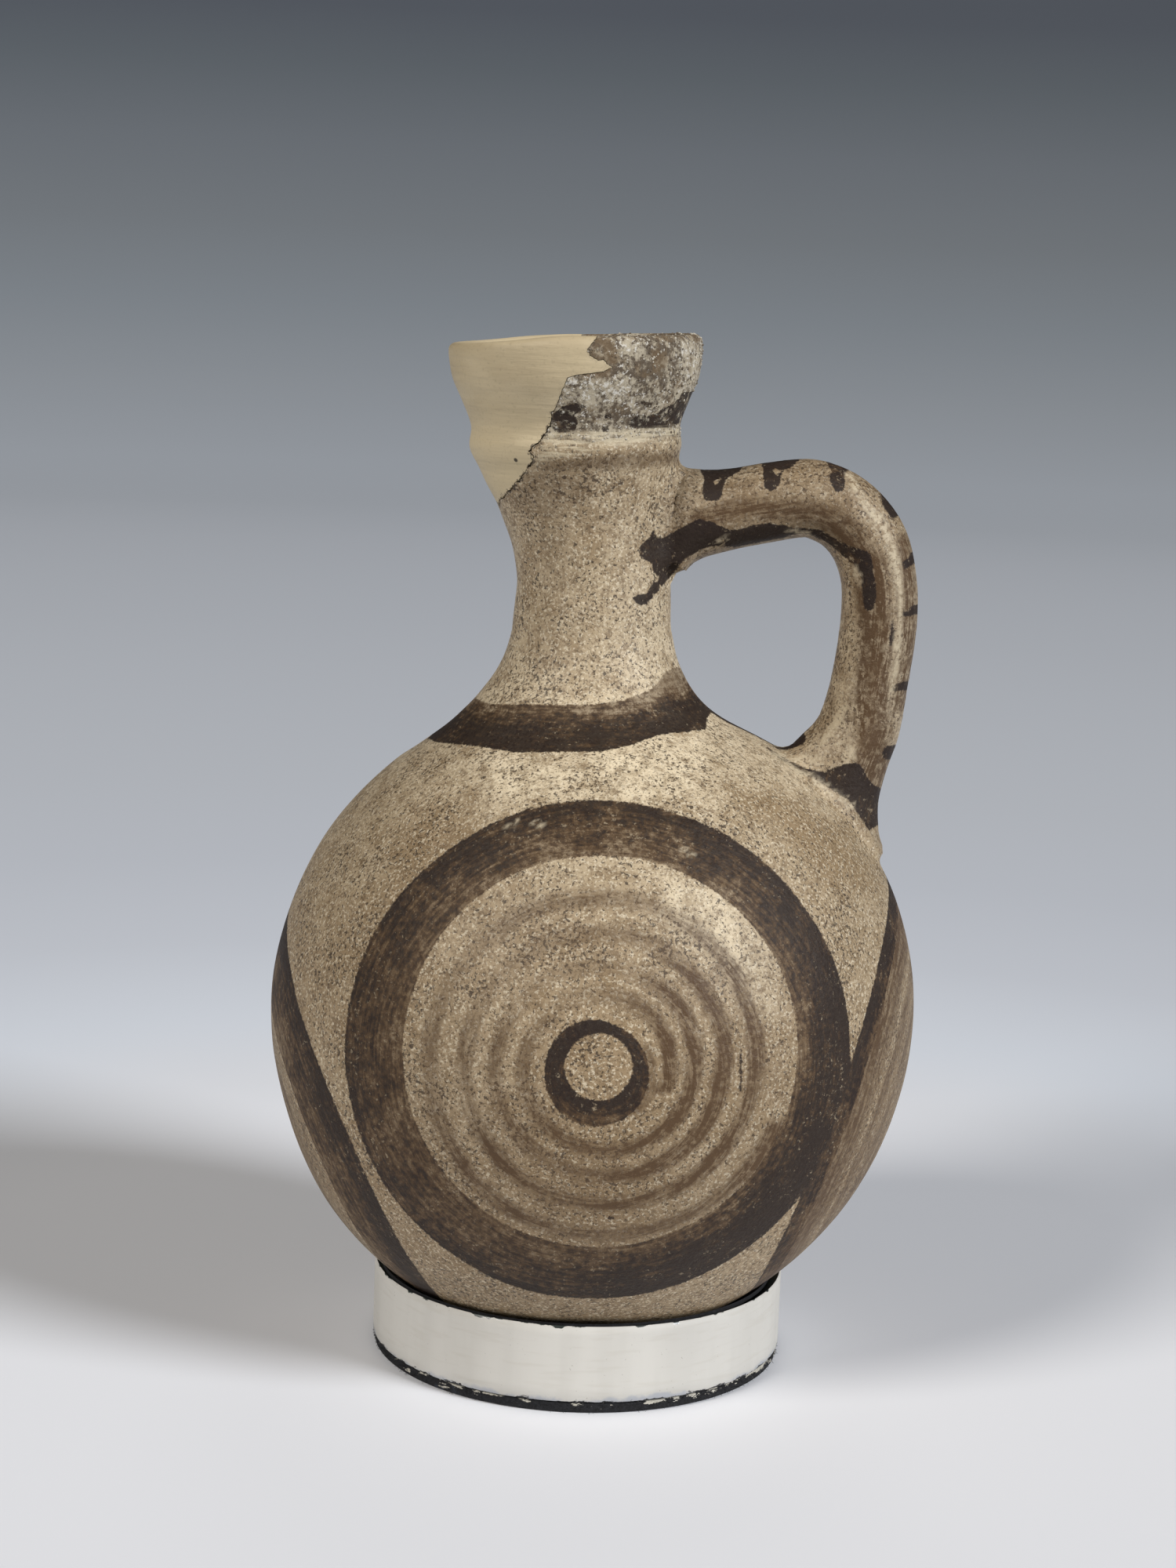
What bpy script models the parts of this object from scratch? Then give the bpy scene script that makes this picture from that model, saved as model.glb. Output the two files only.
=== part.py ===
"""Round-bottomed painted juglet with one loop handle, seated in its display ring.

Metres, +Z up. The origin is on the floor under the middle of the body, the handle is on +X and the front is on -Y.
The vessel is shaped upright and then tilted a little in its ring, about the middle of its equator.
"""

import math

import bmesh
import bpy
from mathutils import Matrix, Vector

# Display ring and felt foot
FELT_THICKNESS = 0.0015
FELT_INSET = 0.0003
RING_OUTER_RADIUS = 0.0278
RING_WALL = 0.004
RING_SHIFT_X = -0.0005
RING_EDGE_LAND = 0.0003
LINING_THICKNESS = 0.0004
LINING_WIDTH = 0.0026

# Clearance between pieces that touch
GAP = 0.0003

# Air under the round bottom: the ring is as high as it takes to hold the vessel this far above the felt foot
BELLY_CLEARANCE = 0.00105

# How far the vessel tilts towards -X in its ring
VESSEL_TILT_DEGREES = 2.2

# Vessel body: two half-ellipsoids that share one equator
BODY_RADIUS = 0.0431
BELLY_DEPTH = 0.0448
SHOULDER_RISE = 0.0424
BODY_WALL = 0.004

# Hollow from the shoulder into the neck: height above the equator, then radius
SHOULDER_JOIN_SHARE = 0.79
HOLLOW_KNOTS = (
    (0.0360, 0.02240),
    (0.0385, 0.01834),
    (0.0410, 0.01545),
    (0.0435, 0.01348),
    (0.0460, 0.01200),
    (0.0485, 0.01105),
    (0.0510, 0.01045),
)

# Neck and mouth, with heights given as drops below the rim
VESSEL_RIM_ABOVE_EQUATOR = 0.0894
NECK_RADIUS = 0.01012
NECK_WAIST_DROP = 0.0296
NECK_FLARE_RADIUS = 0.0110
NECK_FLARE_DROP = 0.0230
NECK_TOP_RADIUS = 0.01265
NECK_TOP_DROP = 0.0177
RIDGE_RADIUS = 0.01390
RIDGE_DROP = 0.0145
CREASE_RADIUS = 0.01372
CREASE_DROP = 0.0117
MOUTH_THROAT_RADIUS = 0.0149
MOUTH_THROAT_DROP = 0.0084
CARINATION_RADIUS = 0.0161
CARINATION_DROP = 0.0054
MOUTH_RADIUS = 0.0165
MOUTH_SIDE_DROP = 0.0022
LIP_ROUND = 0.0008
NECK_WALL = 0.0034
LIP_WALL = 0.0027
RIM_SAG = 0.0010

# Hand-made wander of the turning axis: height above the equator, then shift along X
FOOT_LEAN = -0.0008
AXIS_KNOTS = (
    (-0.0362, FOOT_LEAN),
    (-0.0060, 0.0),
    (0.0340, 0.0004),
    (0.0405, -0.0008),
    (0.0510, 0.0),
    (0.0570, 0.0002),
    (0.0750, -0.0022),
)

# Handle, a loop in the XZ plane. Each section gives its outer edge and its inner edge, both as distance
# along X and height above the equator, then its half width
HANDLE_SECTIONS = (
    (0.0086, 0.0715, 0.0083, 0.0545, 0.0042),
    (0.0114, 0.0728, 0.0113, 0.0561, 0.0052),
    (0.0139, 0.0721, 0.0132, 0.0595, 0.0056),
    (0.0180, 0.0721, 0.0181, 0.0612, 0.0057),
    (0.0236, 0.0730, 0.0242, 0.0624, 0.0057),
    (0.0293, 0.0733, 0.0280, 0.0629, 0.0057),
    (0.0346, 0.0715, 0.0306, 0.0617, 0.0057),
    (0.0388, 0.0680, 0.0320, 0.0597, 0.0057),
    (0.0417, 0.0632, 0.0328, 0.0571, 0.0057),
    (0.0430, 0.0565, 0.0329, 0.0540, 0.0057),
    (0.0429, 0.0500, 0.03255, 0.0497, 0.0057),
    (0.0420, 0.0437, 0.0316, 0.0441, 0.0057),
    (0.0409, 0.0369, 0.0305, 0.0400, 0.0058),
    (0.0394, 0.0323, 0.0289, 0.0376, 0.0060),
    (0.0382, 0.0283, 0.0270, 0.0359, 0.0063),
    (0.0385, 0.0229, 0.0252, 0.0341, 0.0065),
    (0.0376, 0.0182, 0.0242, 0.0329, 0.0056),
)
HANDLE_SQUARENESS = 2.5

# Broken edge: degrees from the front towards +X, and drop below the rim
BREAK_LINE = (
    (13.0, -0.0016),
    (10.5, 0.0008),
    (8.5, 0.0030),
    (-2.5, 0.0052),
    (-8.2, 0.0084),
    (-12.6, 0.0108),
    (-17.5, 0.0128),
    (-24.0, 0.0152),
    (-36.0, 0.0181),
    (-56.0, 0.0204),
    (-80.0, 0.0218),
    (-106.0, 0.0215),
    (-130.0, 0.0198),
    (-150.0, 0.0165),
    (-163.0, 0.0120),
    (-172.0, 0.0075),
    (-180.0, 0.0030),
    (-185.0, -0.0016),
)
BREAK_INNER_RADIUS = 0.004
BREAK_CLEARANCE = 0.006

# Facets
TURNED_SIDES = 44
CAVITY_SIDES = 38
BELLY_ROWS = 13
SHOULDER_ROWS = 9
HANDLE_SIDES = 14
HANDLE_STEPS = 2
SEAT_ROWS = 3

# Heights that follow from the sizes above
RING_BASE = FELT_THICKNESS + GAP
RING_INNER_RADIUS = RING_OUTER_RADIUS - RING_WALL
SEAT_DEPTH = GAP + LINING_THICKNESS + GAP
SEAT_OUTER_RADIUS = RING_OUTER_RADIUS - abs(RING_SHIFT_X - FOOT_LEAN) - RING_EDGE_LAND


def belly_point(angle, distance):
    """Radius and depth below the equator, at an angle from straight down, this far outside the lower ellipsoid."""
    normal = Vector((math.sin(angle) / BODY_RADIUS, math.cos(angle) / BELLY_DEPTH)).normalized()
    radius = BODY_RADIUS * math.sin(angle) + distance * normal.x
    depth = BELLY_DEPTH * math.cos(angle) + distance * normal.y
    return radius, depth


def belly_depth_at(radius, distance):
    """Depth below the equator where the surface this far outside the belly has the given radius."""
    low, high = 0.0, math.pi / 2
    for _ in range(40):
        middle = (low + high) / 2
        if belly_point(middle, distance)[0] < radius:
            low = middle
        else:
            high = middle
    return belly_point(low, distance)[1]


EQUATOR = FELT_THICKNESS + BELLY_CLEARANCE + BELLY_DEPTH
RIM = EQUATOR + VESSEL_RIM_ABOVE_EQUATOR
RING_TOP = EQUATOR - belly_depth_at(SEAT_OUTER_RADIUS, SEAT_DEPTH)


def blend(share):
    """Smooth step from 0 to 1."""
    share = min(max(share, 0.0), 1.0)
    return share * share * (3 - 2 * share)


def between(stations, height):
    """Reads a value between stations of (height, value), with smooth steps."""
    if height <= stations[0][0]:
        return stations[0][1]
    for (low, first), (high, second) in zip(stations, stations[1:]):
        if height <= high:
            return first + (second - first) * blend((height - low) / (high - low))
    return stations[-1][1]


def lean(height):
    """Shift of the turning axis along X at a height."""
    return between(AXIS_KNOTS, height - EQUATOR)


def rim_sag(side, height):
    """How far the rim drops on its -X side, fading to nothing at the carination."""
    start = RIM - CARINATION_DROP
    return RIM_SAG * blend(-side) * blend((height - start) / (RIM - start))


def catmull(before, start, end, after, share):
    """Point on a Catmull-Rom curve between start and end."""
    square = share * share
    cube = square * share
    first = start * 2 + (end - before) * share
    second = (before * 2 - start * 5 + end * 4 - after) * square
    third = (start * 3 - before - end * 3 + after) * cube
    return (first + second + third) * 0.5


def smooth_through(knots, steps):
    """Points on a smooth curve through the knots, with this many steps from each to the next."""
    ends = [knots[0] * 2 - knots[1], *knots, knots[-1] * 2 - knots[-2]]
    points = []
    for i in range(1, len(ends) - 2):
        for step in range(steps):
            points.append(catmull(ends[i - 1], ends[i], ends[i + 1], ends[i + 2], step / steps))
    points.append(knots[-1].copy())
    return points


def body_stations():
    """Outer radius and height from the bottom pole to the shoulder join."""
    stations = []
    for row in range(BELLY_ROWS + 1):
        angle = math.pi / 2 * row / BELLY_ROWS
        stations.append(Vector((BODY_RADIUS * math.sin(angle), EQUATOR - BELLY_DEPTH * math.cos(angle))))
    join = math.asin(SHOULDER_JOIN_SHARE)
    for row in range(1, SHOULDER_ROWS + 1):
        angle = join * row / SHOULDER_ROWS
        stations.append(Vector((BODY_RADIUS * math.cos(angle), EQUATOR + SHOULDER_RISE * math.sin(angle))))
    return stations


def hollow_stations():
    """Outer radius and height along the hollow between shoulder and neck."""
    return [Vector((radius, EQUATOR + height)) for height, radius in HOLLOW_KNOTS]


def neck_stations():
    """Outer radius and height from above the neck's foot to the lip's top."""
    knots = [
        hollow_stations()[-1],
        Vector((NECK_RADIUS, RIM - NECK_WAIST_DROP)),
        Vector((NECK_FLARE_RADIUS, RIM - NECK_FLARE_DROP)),
        Vector((NECK_TOP_RADIUS, RIM - NECK_TOP_DROP)),
        Vector((RIDGE_RADIUS, RIM - RIDGE_DROP)),
        Vector((CREASE_RADIUS, RIM - CREASE_DROP)),
        Vector((MOUTH_THROAT_RADIUS, RIM - MOUTH_THROAT_DROP)),
        Vector((CARINATION_RADIUS, RIM - CARINATION_DROP)),
        Vector((MOUTH_RADIUS, RIM - MOUTH_SIDE_DROP)),
    ]
    stations = smooth_through(knots, 2)[1:]
    for quarter in (0.0, 0.5, 1.0):
        angle = math.pi / 2 * quarter
        radius = MOUTH_RADIUS - LIP_ROUND * (1 - math.cos(angle))
        stations.append(Vector((radius, RIM - LIP_ROUND * (1 - math.sin(angle)))))
    stations.append(Vector((0.0, RIM)))
    return stations


def wall_at(height):
    """Wall thickness at a height."""
    stations = (
        (EQUATOR, BODY_WALL),
        (EQUATOR + HOLLOW_KNOTS[-1][0], NECK_WALL),
        (RIM, LIP_WALL),
    )
    return between(stations, height)


def cavity_stations():
    """The outer outline moved inwards by the wall, with every second station, run out above the rim."""
    outer = body_stations() + hollow_stations() + neck_stations()
    inner = [Vector((0.0, outer[0].y + BODY_WALL))]
    for i in range(2, len(outer) - 1, 2):
        along = (outer[i + 1] - outer[i - 1]).normalized()
        inner.append(outer[i] - Vector((along.y, -along.x)) * wall_at(outer[i].y))
    throat = MOUTH_RADIUS - LIP_WALL
    inner = [station for station in inner if station.y < RIM - MOUTH_SIDE_DROP]
    inner.append(Vector((throat, RIM + BREAK_CLEARANCE)))
    inner.append(Vector((0.0, RIM + BREAK_CLEARANCE)))
    return inner


def new_object(name, mesh_data):
    """Makes an object of a finished bmesh, with every face turned outwards."""
    bmesh.ops.recalc_face_normals(mesh_data, faces=mesh_data.faces)
    mesh = bpy.data.meshes.new(name)
    mesh_data.to_mesh(mesh)
    mesh_data.free()
    piece = bpy.data.objects.new(name, mesh)
    bpy.context.scene.collection.objects.link(piece)
    return piece


def loft(name, rings, tube=False, twisted=False):
    """Joins rings of points into a closed solid, with its ends filled, or end to end as a tube's wall.

    Twisted sides are split along the same diagonal everywhere, so that two offset lofts stay parallel.
    """
    bm = bmesh.new()
    rows = []
    for ring in rings:
        rows.append([bm.verts.new(point) for point in ring])
    pairs = list(zip(rows, rows[1:]))
    if tube:
        pairs.append((rows[-1], rows[0]))
    for lower, upper in pairs:
        if len(lower) == 1 or len(upper) == 1:
            tip, ring = (lower, upper) if len(lower) == 1 else (upper, lower)
            for i in range(len(ring)):
                bm.faces.new((tip[0], ring[i], ring[(i + 1) % len(ring)]))
            continue
        for i in range(len(lower)):
            j = (i + 1) % len(lower)
            bm.faces.new((lower[i], lower[j], upper[j], upper[i]))
    if not tube:
        for row in (rows[0], rows[-1]):
            if len(row) > 1:
                bm.faces.new(row)
    if twisted:
        bmesh.ops.triangulate(bm, faces=bm.faces, quad_method="FIXED")
    return new_object(name, bm)


def turned_ring(radius, height, sides):
    """One ring of the vessel's turned form, leaning and sagging with it."""
    if radius == 0.0:
        return [Vector((lean(height), 0.0, height))]
    ring = []
    for i in range(sides):
        angle = 2 * math.pi * (i + 0.5) / sides
        x = radius * math.cos(angle)
        y = radius * math.sin(angle)
        ring.append(Vector((x + lean(height), y, height - rim_sag(x / radius, height))))
    return ring


def turned_solid(name, stations, sides):
    """A solid turned from (radius, height) stations about the leaning axis."""
    return loft(name, [turned_ring(station.x, station.y, sides) for station in stations])


def handle_sections():
    """Outer edge, inner edge and half width along the handle, from inside the neck's wall to the body's."""
    knots = []
    for outer_x, outer_z, inner_x, inner_z, half_width in HANDLE_SECTIONS:
        outer = Vector((outer_x, 0.0, EQUATOR + outer_z, half_width))
        inner = Vector((inner_x, 0.0, EQUATOR + inner_z, half_width))
        knots.append((outer, inner))
    outer_edge = smooth_through([outer for outer, _ in knots], HANDLE_STEPS)
    inner_edge = smooth_through([inner for _, inner in knots], HANDLE_STEPS)
    return list(zip(outer_edge, inner_edge))


def superellipse(angle):
    """Point on a unit rounded square."""
    power = 2 / HANDLE_SQUARENESS
    cosine, sine = math.cos(angle), math.sin(angle)
    across = math.copysign(abs(cosine) ** power, cosine)
    deep = math.copysign(abs(sine) ** power, sine)
    return across, deep


def handle_solid(name):
    """The loop, swept with rounded-square sections."""
    rings = []
    for outer, inner in handle_sections():
        centre = (outer + inner).to_3d() / 2
        across = (outer - inner).to_3d() / 2
        ring = []
        for side in range(HANDLE_SIDES):
            u, v = superellipse(2 * math.pi * (side + 0.5) / HANDLE_SIDES)
            ring.append(centre + across * u + Vector((0.0, v * outer.w, 0.0)))
        rings.append(ring)
    return loft(name, rings)


def break_outline(offset):
    """The broken edge as angle and height, moved this far out of the missing piece."""
    flat = []
    for degrees, drop in BREAK_LINE:
        flat.append(Vector((math.radians(degrees) * MOUTH_RADIUS, RIM - drop)))
    moved = []
    for i, point in enumerate(flat):
        ahead = flat[min(i + 1, len(flat) - 1)]
        behind = flat[max(i - 1, 0)]
        along = (ahead - behind).normalized()
        shifted = point + Vector((-along.y, along.x)) * offset
        moved.append(Vector((shifted.x / MOUTH_RADIUS, shifted.y)))
    return moved


def break_block(name, offset):
    """A wedge around the mouth's missing side, for cutting the clay or shaping its fill."""
    outer = MOUTH_RADIUS + BREAK_CLEARANCE
    top = RIM + BREAK_CLEARANCE / 2
    rings = []
    for point in break_outline(offset):
        direction = Vector((math.sin(point.x), -math.cos(point.x), 0.0))
        corners = (
            (BREAK_INNER_RADIUS, point.y),
            (outer, point.y),
            (outer, top),
            (BREAK_INNER_RADIUS, top),
        )
        axis = Vector((AXIS_KNOTS[-1][1], 0.0, 0.0))
        rings.append([axis + direction * radius + Vector((0.0, 0.0, z)) for radius, z in corners])
    return loft(name, rings, twisted=True)


def circle(centre_x, radius, height):
    """A level ring of points."""
    ring = []
    for i in range(TURNED_SIDES):
        angle = 2 * math.pi * i / TURNED_SIDES
        ring.append(Vector((centre_x + radius * math.cos(angle), radius * math.sin(angle), height)))
    return ring


def seat_height(point, distance):
    """Height of the surface this far below the belly, under a point of the plan."""
    radius = math.hypot(point.x - FOOT_LEAN, point.y)
    return EQUATOR - belly_depth_at(radius, distance)


def seat_rings(inner, outer, distance, rows):
    """Rings between two level rings, laid on the surface this far below the belly."""
    rings = []
    for row in range(rows + 1):
        ring = []
        for start, end in zip(inner, outer):
            point = start.lerp(end, row / rows)
            point.z = seat_height(point, distance)
            ring.append(point)
        rings.append(ring)
    return rings


def display_ring():
    """The tube slice, its top bevelled to follow the round bottom."""
    bore = circle(RING_SHIFT_X, RING_INNER_RADIUS, RING_TOP)
    land = circle(FOOT_LEAN, SEAT_OUTER_RADIUS, RING_TOP)
    rings = [
        circle(RING_SHIFT_X, RING_INNER_RADIUS, RING_BASE),
        *seat_rings(bore, land, SEAT_DEPTH, SEAT_ROWS),
        circle(RING_SHIFT_X, RING_OUTER_RADIUS, RING_TOP),
        circle(RING_SHIFT_X, RING_OUTER_RADIUS, RING_BASE),
    ]
    return loft("display_ring", rings, tube=True)


def ring_lining():
    """The felt strip between the ring's seat and the round bottom."""
    outer_radius = SEAT_OUTER_RADIUS
    inner = circle(FOOT_LEAN, outer_radius - LINING_WIDTH, RING_TOP)
    outer = circle(FOOT_LEAN, outer_radius, RING_TOP)
    lower = seat_rings(inner, outer, GAP + LINING_THICKNESS, SEAT_ROWS)
    upper = seat_rings(inner, outer, GAP, SEAT_ROWS)
    return loft("ring_lining", lower + upper[::-1], tube=True)


def felt_foot():
    """The felt pad under the ring."""
    radius = RING_OUTER_RADIUS - FELT_INSET
    rings = [circle(RING_SHIFT_X, radius, 0.0), circle(RING_SHIFT_X, radius, FELT_THICKNESS)]
    return loft("felt_foot", rings)


def settle(piece):
    """Tilts a finished form of the vessel in its ring."""
    pivot = Matrix.Translation((0.0, 0.0, EQUATOR))
    tilt = Matrix.Rotation(-math.radians(VESSEL_TILT_DEGREES), 4, "Y")
    piece.data.transform(pivot @ tilt @ pivot.inverted())


def boolean(piece, operation, tool):
    """Adds an exact Boolean and keeps its tool out of the model."""
    modifier = piece.modifiers.new(f"{operation.lower()} {tool.name}", "BOOLEAN")
    modifier.operation = operation
    modifier.solver = "EXACT"
    modifier.object = tool
    tool.hide_render = True
    tool.display_type = "WIRE"


def finish(piece, colour, roughness):
    """Gives a piece its own material and smooth shading with crisp edges."""
    material = bpy.data.materials.new(piece.name)
    material.use_nodes = True
    shader = material.node_tree.nodes["Principled BSDF"]
    shader.inputs["Base Color"].default_value = (*colour, 1.0)
    shader.inputs["Roughness"].default_value = roughness
    shader.inputs["Metallic"].default_value = 0.0
    piece.data.materials.append(material)
    piece.data.shade_smooth()
    piece.data.set_sharp_from_angle(angle=math.radians(35))


def clear_scene():
    """Removes every object that the scene holds."""
    for thing in list(bpy.data.objects):
        bpy.data.objects.remove(thing, do_unlink=True)


def build():
    """Builds the juglet, its fill and the ring that holds it."""
    clear_scene()
    outline = body_stations() + hollow_stations() + neck_stations()

    handle = handle_solid("handle_form")
    cavity = turned_solid("cavity_form", cavity_stations(), CAVITY_SIDES)
    missing = break_block("missing_form", GAP / 2)
    fill_block = break_block("fill_form", -GAP / 2)

    juglet = turned_solid("juglet", outline, TURNED_SIDES)
    boolean(juglet, "UNION", handle)
    boolean(juglet, "DIFFERENCE", cavity)
    boolean(juglet, "DIFFERENCE", missing)
    finish(juglet, (0.48, 0.38, 0.26), 0.85)

    fill = turned_solid("plaster_fill", outline, TURNED_SIDES)
    boolean(fill, "INTERSECT", fill_block)
    boolean(fill, "DIFFERENCE", cavity)
    finish(fill, (0.62, 0.52, 0.36), 0.8)

    for form in (juglet, fill, handle, cavity, missing, fill_block):
        settle(form)

    finish(display_ring(), (0.72, 0.70, 0.64), 0.55)
    finish(ring_lining(), (0.02, 0.02, 0.02), 0.95)
    finish(felt_foot(), (0.015, 0.015, 0.02), 0.95)


build()
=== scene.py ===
"""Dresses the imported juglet, its plaster fill and its display ring, and sets them in a plain studio.

Lengths are worked out in millimetres on the upright vessel, with heights from the middle of its equator. The finished
meshes are tilted with the vessel and turned to metres.
"""

import logging
import math
from collections import Counter
from collections.abc import Iterator
from contextlib import contextmanager
from dataclasses import dataclass
from enum import Enum
from functools import partial

import bmesh
import bpy
import numpy as np
from bpy.types import ID, Material, Node, NodeSocket, NodeTree, Object
from mathutils import Matrix, Vector
from mathutils.geometry import delaunay_2d_cdt


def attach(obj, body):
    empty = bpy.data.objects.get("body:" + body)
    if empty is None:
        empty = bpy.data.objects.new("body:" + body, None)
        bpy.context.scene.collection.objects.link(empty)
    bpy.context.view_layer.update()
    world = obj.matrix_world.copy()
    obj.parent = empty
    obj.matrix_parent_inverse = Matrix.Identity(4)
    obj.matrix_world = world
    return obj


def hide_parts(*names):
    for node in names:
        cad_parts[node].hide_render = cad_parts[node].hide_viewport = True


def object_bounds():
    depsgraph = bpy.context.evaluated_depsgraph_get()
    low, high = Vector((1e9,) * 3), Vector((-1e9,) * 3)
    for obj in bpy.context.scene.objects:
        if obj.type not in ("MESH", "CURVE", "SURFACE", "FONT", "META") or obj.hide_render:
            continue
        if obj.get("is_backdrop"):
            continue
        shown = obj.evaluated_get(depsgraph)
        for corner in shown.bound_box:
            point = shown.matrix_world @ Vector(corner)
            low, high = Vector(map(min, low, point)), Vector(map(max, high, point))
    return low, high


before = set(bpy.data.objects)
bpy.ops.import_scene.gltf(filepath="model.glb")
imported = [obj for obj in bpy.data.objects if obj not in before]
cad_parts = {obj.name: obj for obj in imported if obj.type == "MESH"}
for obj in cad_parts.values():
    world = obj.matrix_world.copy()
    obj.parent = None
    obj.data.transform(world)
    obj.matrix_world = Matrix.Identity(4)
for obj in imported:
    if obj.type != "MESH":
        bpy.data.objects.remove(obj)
CAD_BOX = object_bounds()

MM = 0.001
TINY = 1e-12
LOG = logging.getLogger("juglet")

# Rows of two numbers, such as a height and a radius
Pairs = tuple[tuple[float, float], ...]
# Corners of an outline, in millimetres or in pixels of the photograph
Outline = Pairs


class Piece(Enum):
    """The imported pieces, by their node names."""

    JUGLET = "juglet"
    PLASTER = "plaster_fill"
    RING = "display_ring"
    LINING = "ring_lining"
    FOOT = "felt_foot"


class Run(Enum):
    """Which way the painter's brush ran."""

    ROUND_NECK = "round the neck"
    ALONG_HANDLE = "along the handle"


class Strewn(Enum):
    """Small things strewn over a surface."""

    GRAIN = "grain"
    FIBRE = "fibre"


# ---- small tools


def smooth_step(share: np.ndarray) -> np.ndarray:
    """Smooth step from 0 to 1."""
    share = np.clip(share, 0.0, 1.0)
    return share * share * (3.0 - 2.0 * share)


def value_noise(points: np.ndarray, cell: float, seed: int) -> np.ndarray:
    """Smooth random values in space.

    Args:
        points: Places, one row each, in millimetres.
        cell: Size of one random cell in millimetres.
        seed: Number that fixes the pattern.

    Returns:
        One value from -1 to 1 for each place.
    """
    cells, above_zero = 32, 1000.0
    table = np.random.default_rng(seed).uniform(-1.0, 1.0, (cells, cells, cells))
    scaled = points / cell + above_zero
    base = np.floor(scaled).astype(int)
    share = smooth_step(scaled - base)
    result = np.zeros(len(points))
    for corner in np.ndindex(2, 2, 2):
        weight = np.prod(np.where(np.array(corner) == 1, share, 1.0 - share), axis=1)
        index = (base + corner) % cells
        result += weight * table[index[:, 0], index[:, 1], index[:, 2]]
    return result


def curve_through(knots: np.ndarray, steps: int) -> np.ndarray:
    """Points on a smooth curve through the knots, a Catmull-Rom spline.

    Args:
        knots: One row for each knot.
        steps: Steps from each knot to the next.

    Returns:
        The curve's points, one row each.
    """
    knots = np.asarray(knots, float)
    ends = np.vstack([2 * knots[0] - knots[1], knots, 2 * knots[-1] - knots[-2]])
    points = []
    for i in range(1, len(ends) - 2):
        before, start, end, after = ends[i - 1 : i + 3]
        for step in range(steps):
            t = step / steps
            bend, twist = 2 * before - 5 * start + 4 * end - after, 3 * start - before - 3 * end + after
            points.append(0.5 * (2 * start + (end - before) * t + bend * t * t + twist * t**3))
    points.append(knots[-1])
    return np.array(points)


def directions(line: np.ndarray) -> np.ndarray:
    """Directions along a line, each 1 long.

    Args:
        line: The line's points, one row each.

    Returns:
        One direction for each point.
    """
    along = np.gradient(line, axis=0)
    return along / np.linalg.norm(along, axis=1)[:, None]


def line_distance(places: np.ndarray, line: np.ndarray) -> np.ndarray:
    """Distance of flat places from an open line.

    Args:
        places: Places, one row of two values each.
        line: The line's points, one row of two values each.

    Returns:
        One distance for each place.
    """
    best = np.full(len(places), np.inf)
    for start, end in zip(line[:-1], line[1:]):
        along = end - start
        share = np.clip((places - start) @ along / max(along @ along, TINY), 0.0, 1.0)
        gap = places - start - share[:, None] * along
        best = np.minimum(best, np.einsum("ij,ij->i", gap, gap))
    return np.sqrt(best)


def inside_outline(places: np.ndarray, outline: np.ndarray) -> np.ndarray:
    """Says which flat places lie inside a closed outline.

    Args:
        places: Places, one row of two values each.
        outline: The outline's corners, one row of two values each.

    Returns:
        True or False for each place.
    """
    inside = np.zeros(len(places), bool)
    x, y = places[:, 0], places[:, 1]
    for (ax, ay), (bx, by) in zip(outline, np.roll(outline, -1, axis=0)):
        crosses = (ay > y) != (by > y)
        inside ^= crosses & (x < (bx - ax) * (y - ay) / ((by - ay) if by != ay else TINY) + ax)
    return inside


def outline_depth(places: np.ndarray, outline: np.ndarray) -> np.ndarray:
    """Distance of flat places from a closed outline, above zero inside it.

    Args:
        places: Places, one row of two values each.
        outline: The outline's corners, one row of two values each.

    Returns:
        One signed distance for each place.
    """
    outline = np.asarray(outline, float)
    gap = line_distance(places, np.vstack([outline, outline[:1]]))
    return np.where(inside_outline(places, outline), gap, -gap)


# ---- meshes


@contextmanager
def opened(thing: Object) -> Iterator[bmesh.types.BMesh]:
    """Opens an object's mesh for changes and writes them back.

    Args:
        thing: The object.

    Yields:
        Its mesh, open for changes.
    """
    bm = bmesh.new()
    bm.from_mesh(thing.data)
    yield bm
    bm.to_mesh(thing.data)
    bm.free()


def linked(name: str, data: ID) -> Object:
    """A new object with its data, linked to the scene."""
    thing = bpy.data.objects.new(name, data)
    bpy.context.scene.collection.objects.link(thing)
    return thing


def outwards(thing: Object) -> None:
    """Turns the faces of a closed mesh outwards."""
    with opened(thing) as bm:
        bmesh.ops.recalc_face_normals(bm, faces=bm.faces)


def new_object(name: str, points: np.ndarray, faces: list[tuple[int, ...]]) -> Object:
    """Makes an object from points and faces and turns its faces outwards.

    Args:
        name: The object's name.
        points: One row for each point.
        faces: Point numbers of each face.

    Returns:
        The new object, linked to the scene.
    """
    mesh = bpy.data.meshes.new(name)
    mesh.from_pydata([tuple(point) for point in points], [], faces)
    mesh.update()
    thing = linked(name, mesh)
    outwards(thing)
    return thing


def lofted(name: str, rings: list[np.ndarray]) -> Object:
    """Joins rings of points into a closed form; a ring of one point is a pole.

    Args:
        name: The object's name.
        rings: One array of points for each ring, from one end to the other.

    Returns:
        The new object.
    """
    sizes = [len(ring) for ring in rings]
    starts = [sum(sizes[:number]) for number in range(len(rings))]
    faces = []
    for low, high in zip(range(len(rings) - 1), range(1, len(rings))):
        count = max(sizes[low], sizes[high])
        for i in range(count):
            j = (i + 1) % count
            corners = ((low, i), (low, j), (high, j), (high, i))
            faces.append(tuple(dict.fromkeys(starts[ring] + (k if sizes[ring] > 1 else 0) for ring, k in corners)))
    faces += [tuple(range(starts[ring], starts[ring] + sizes[ring])) for ring in (0, -1) if sizes[ring] > 1]
    return new_object(name, np.vstack(rings), faces)


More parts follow.
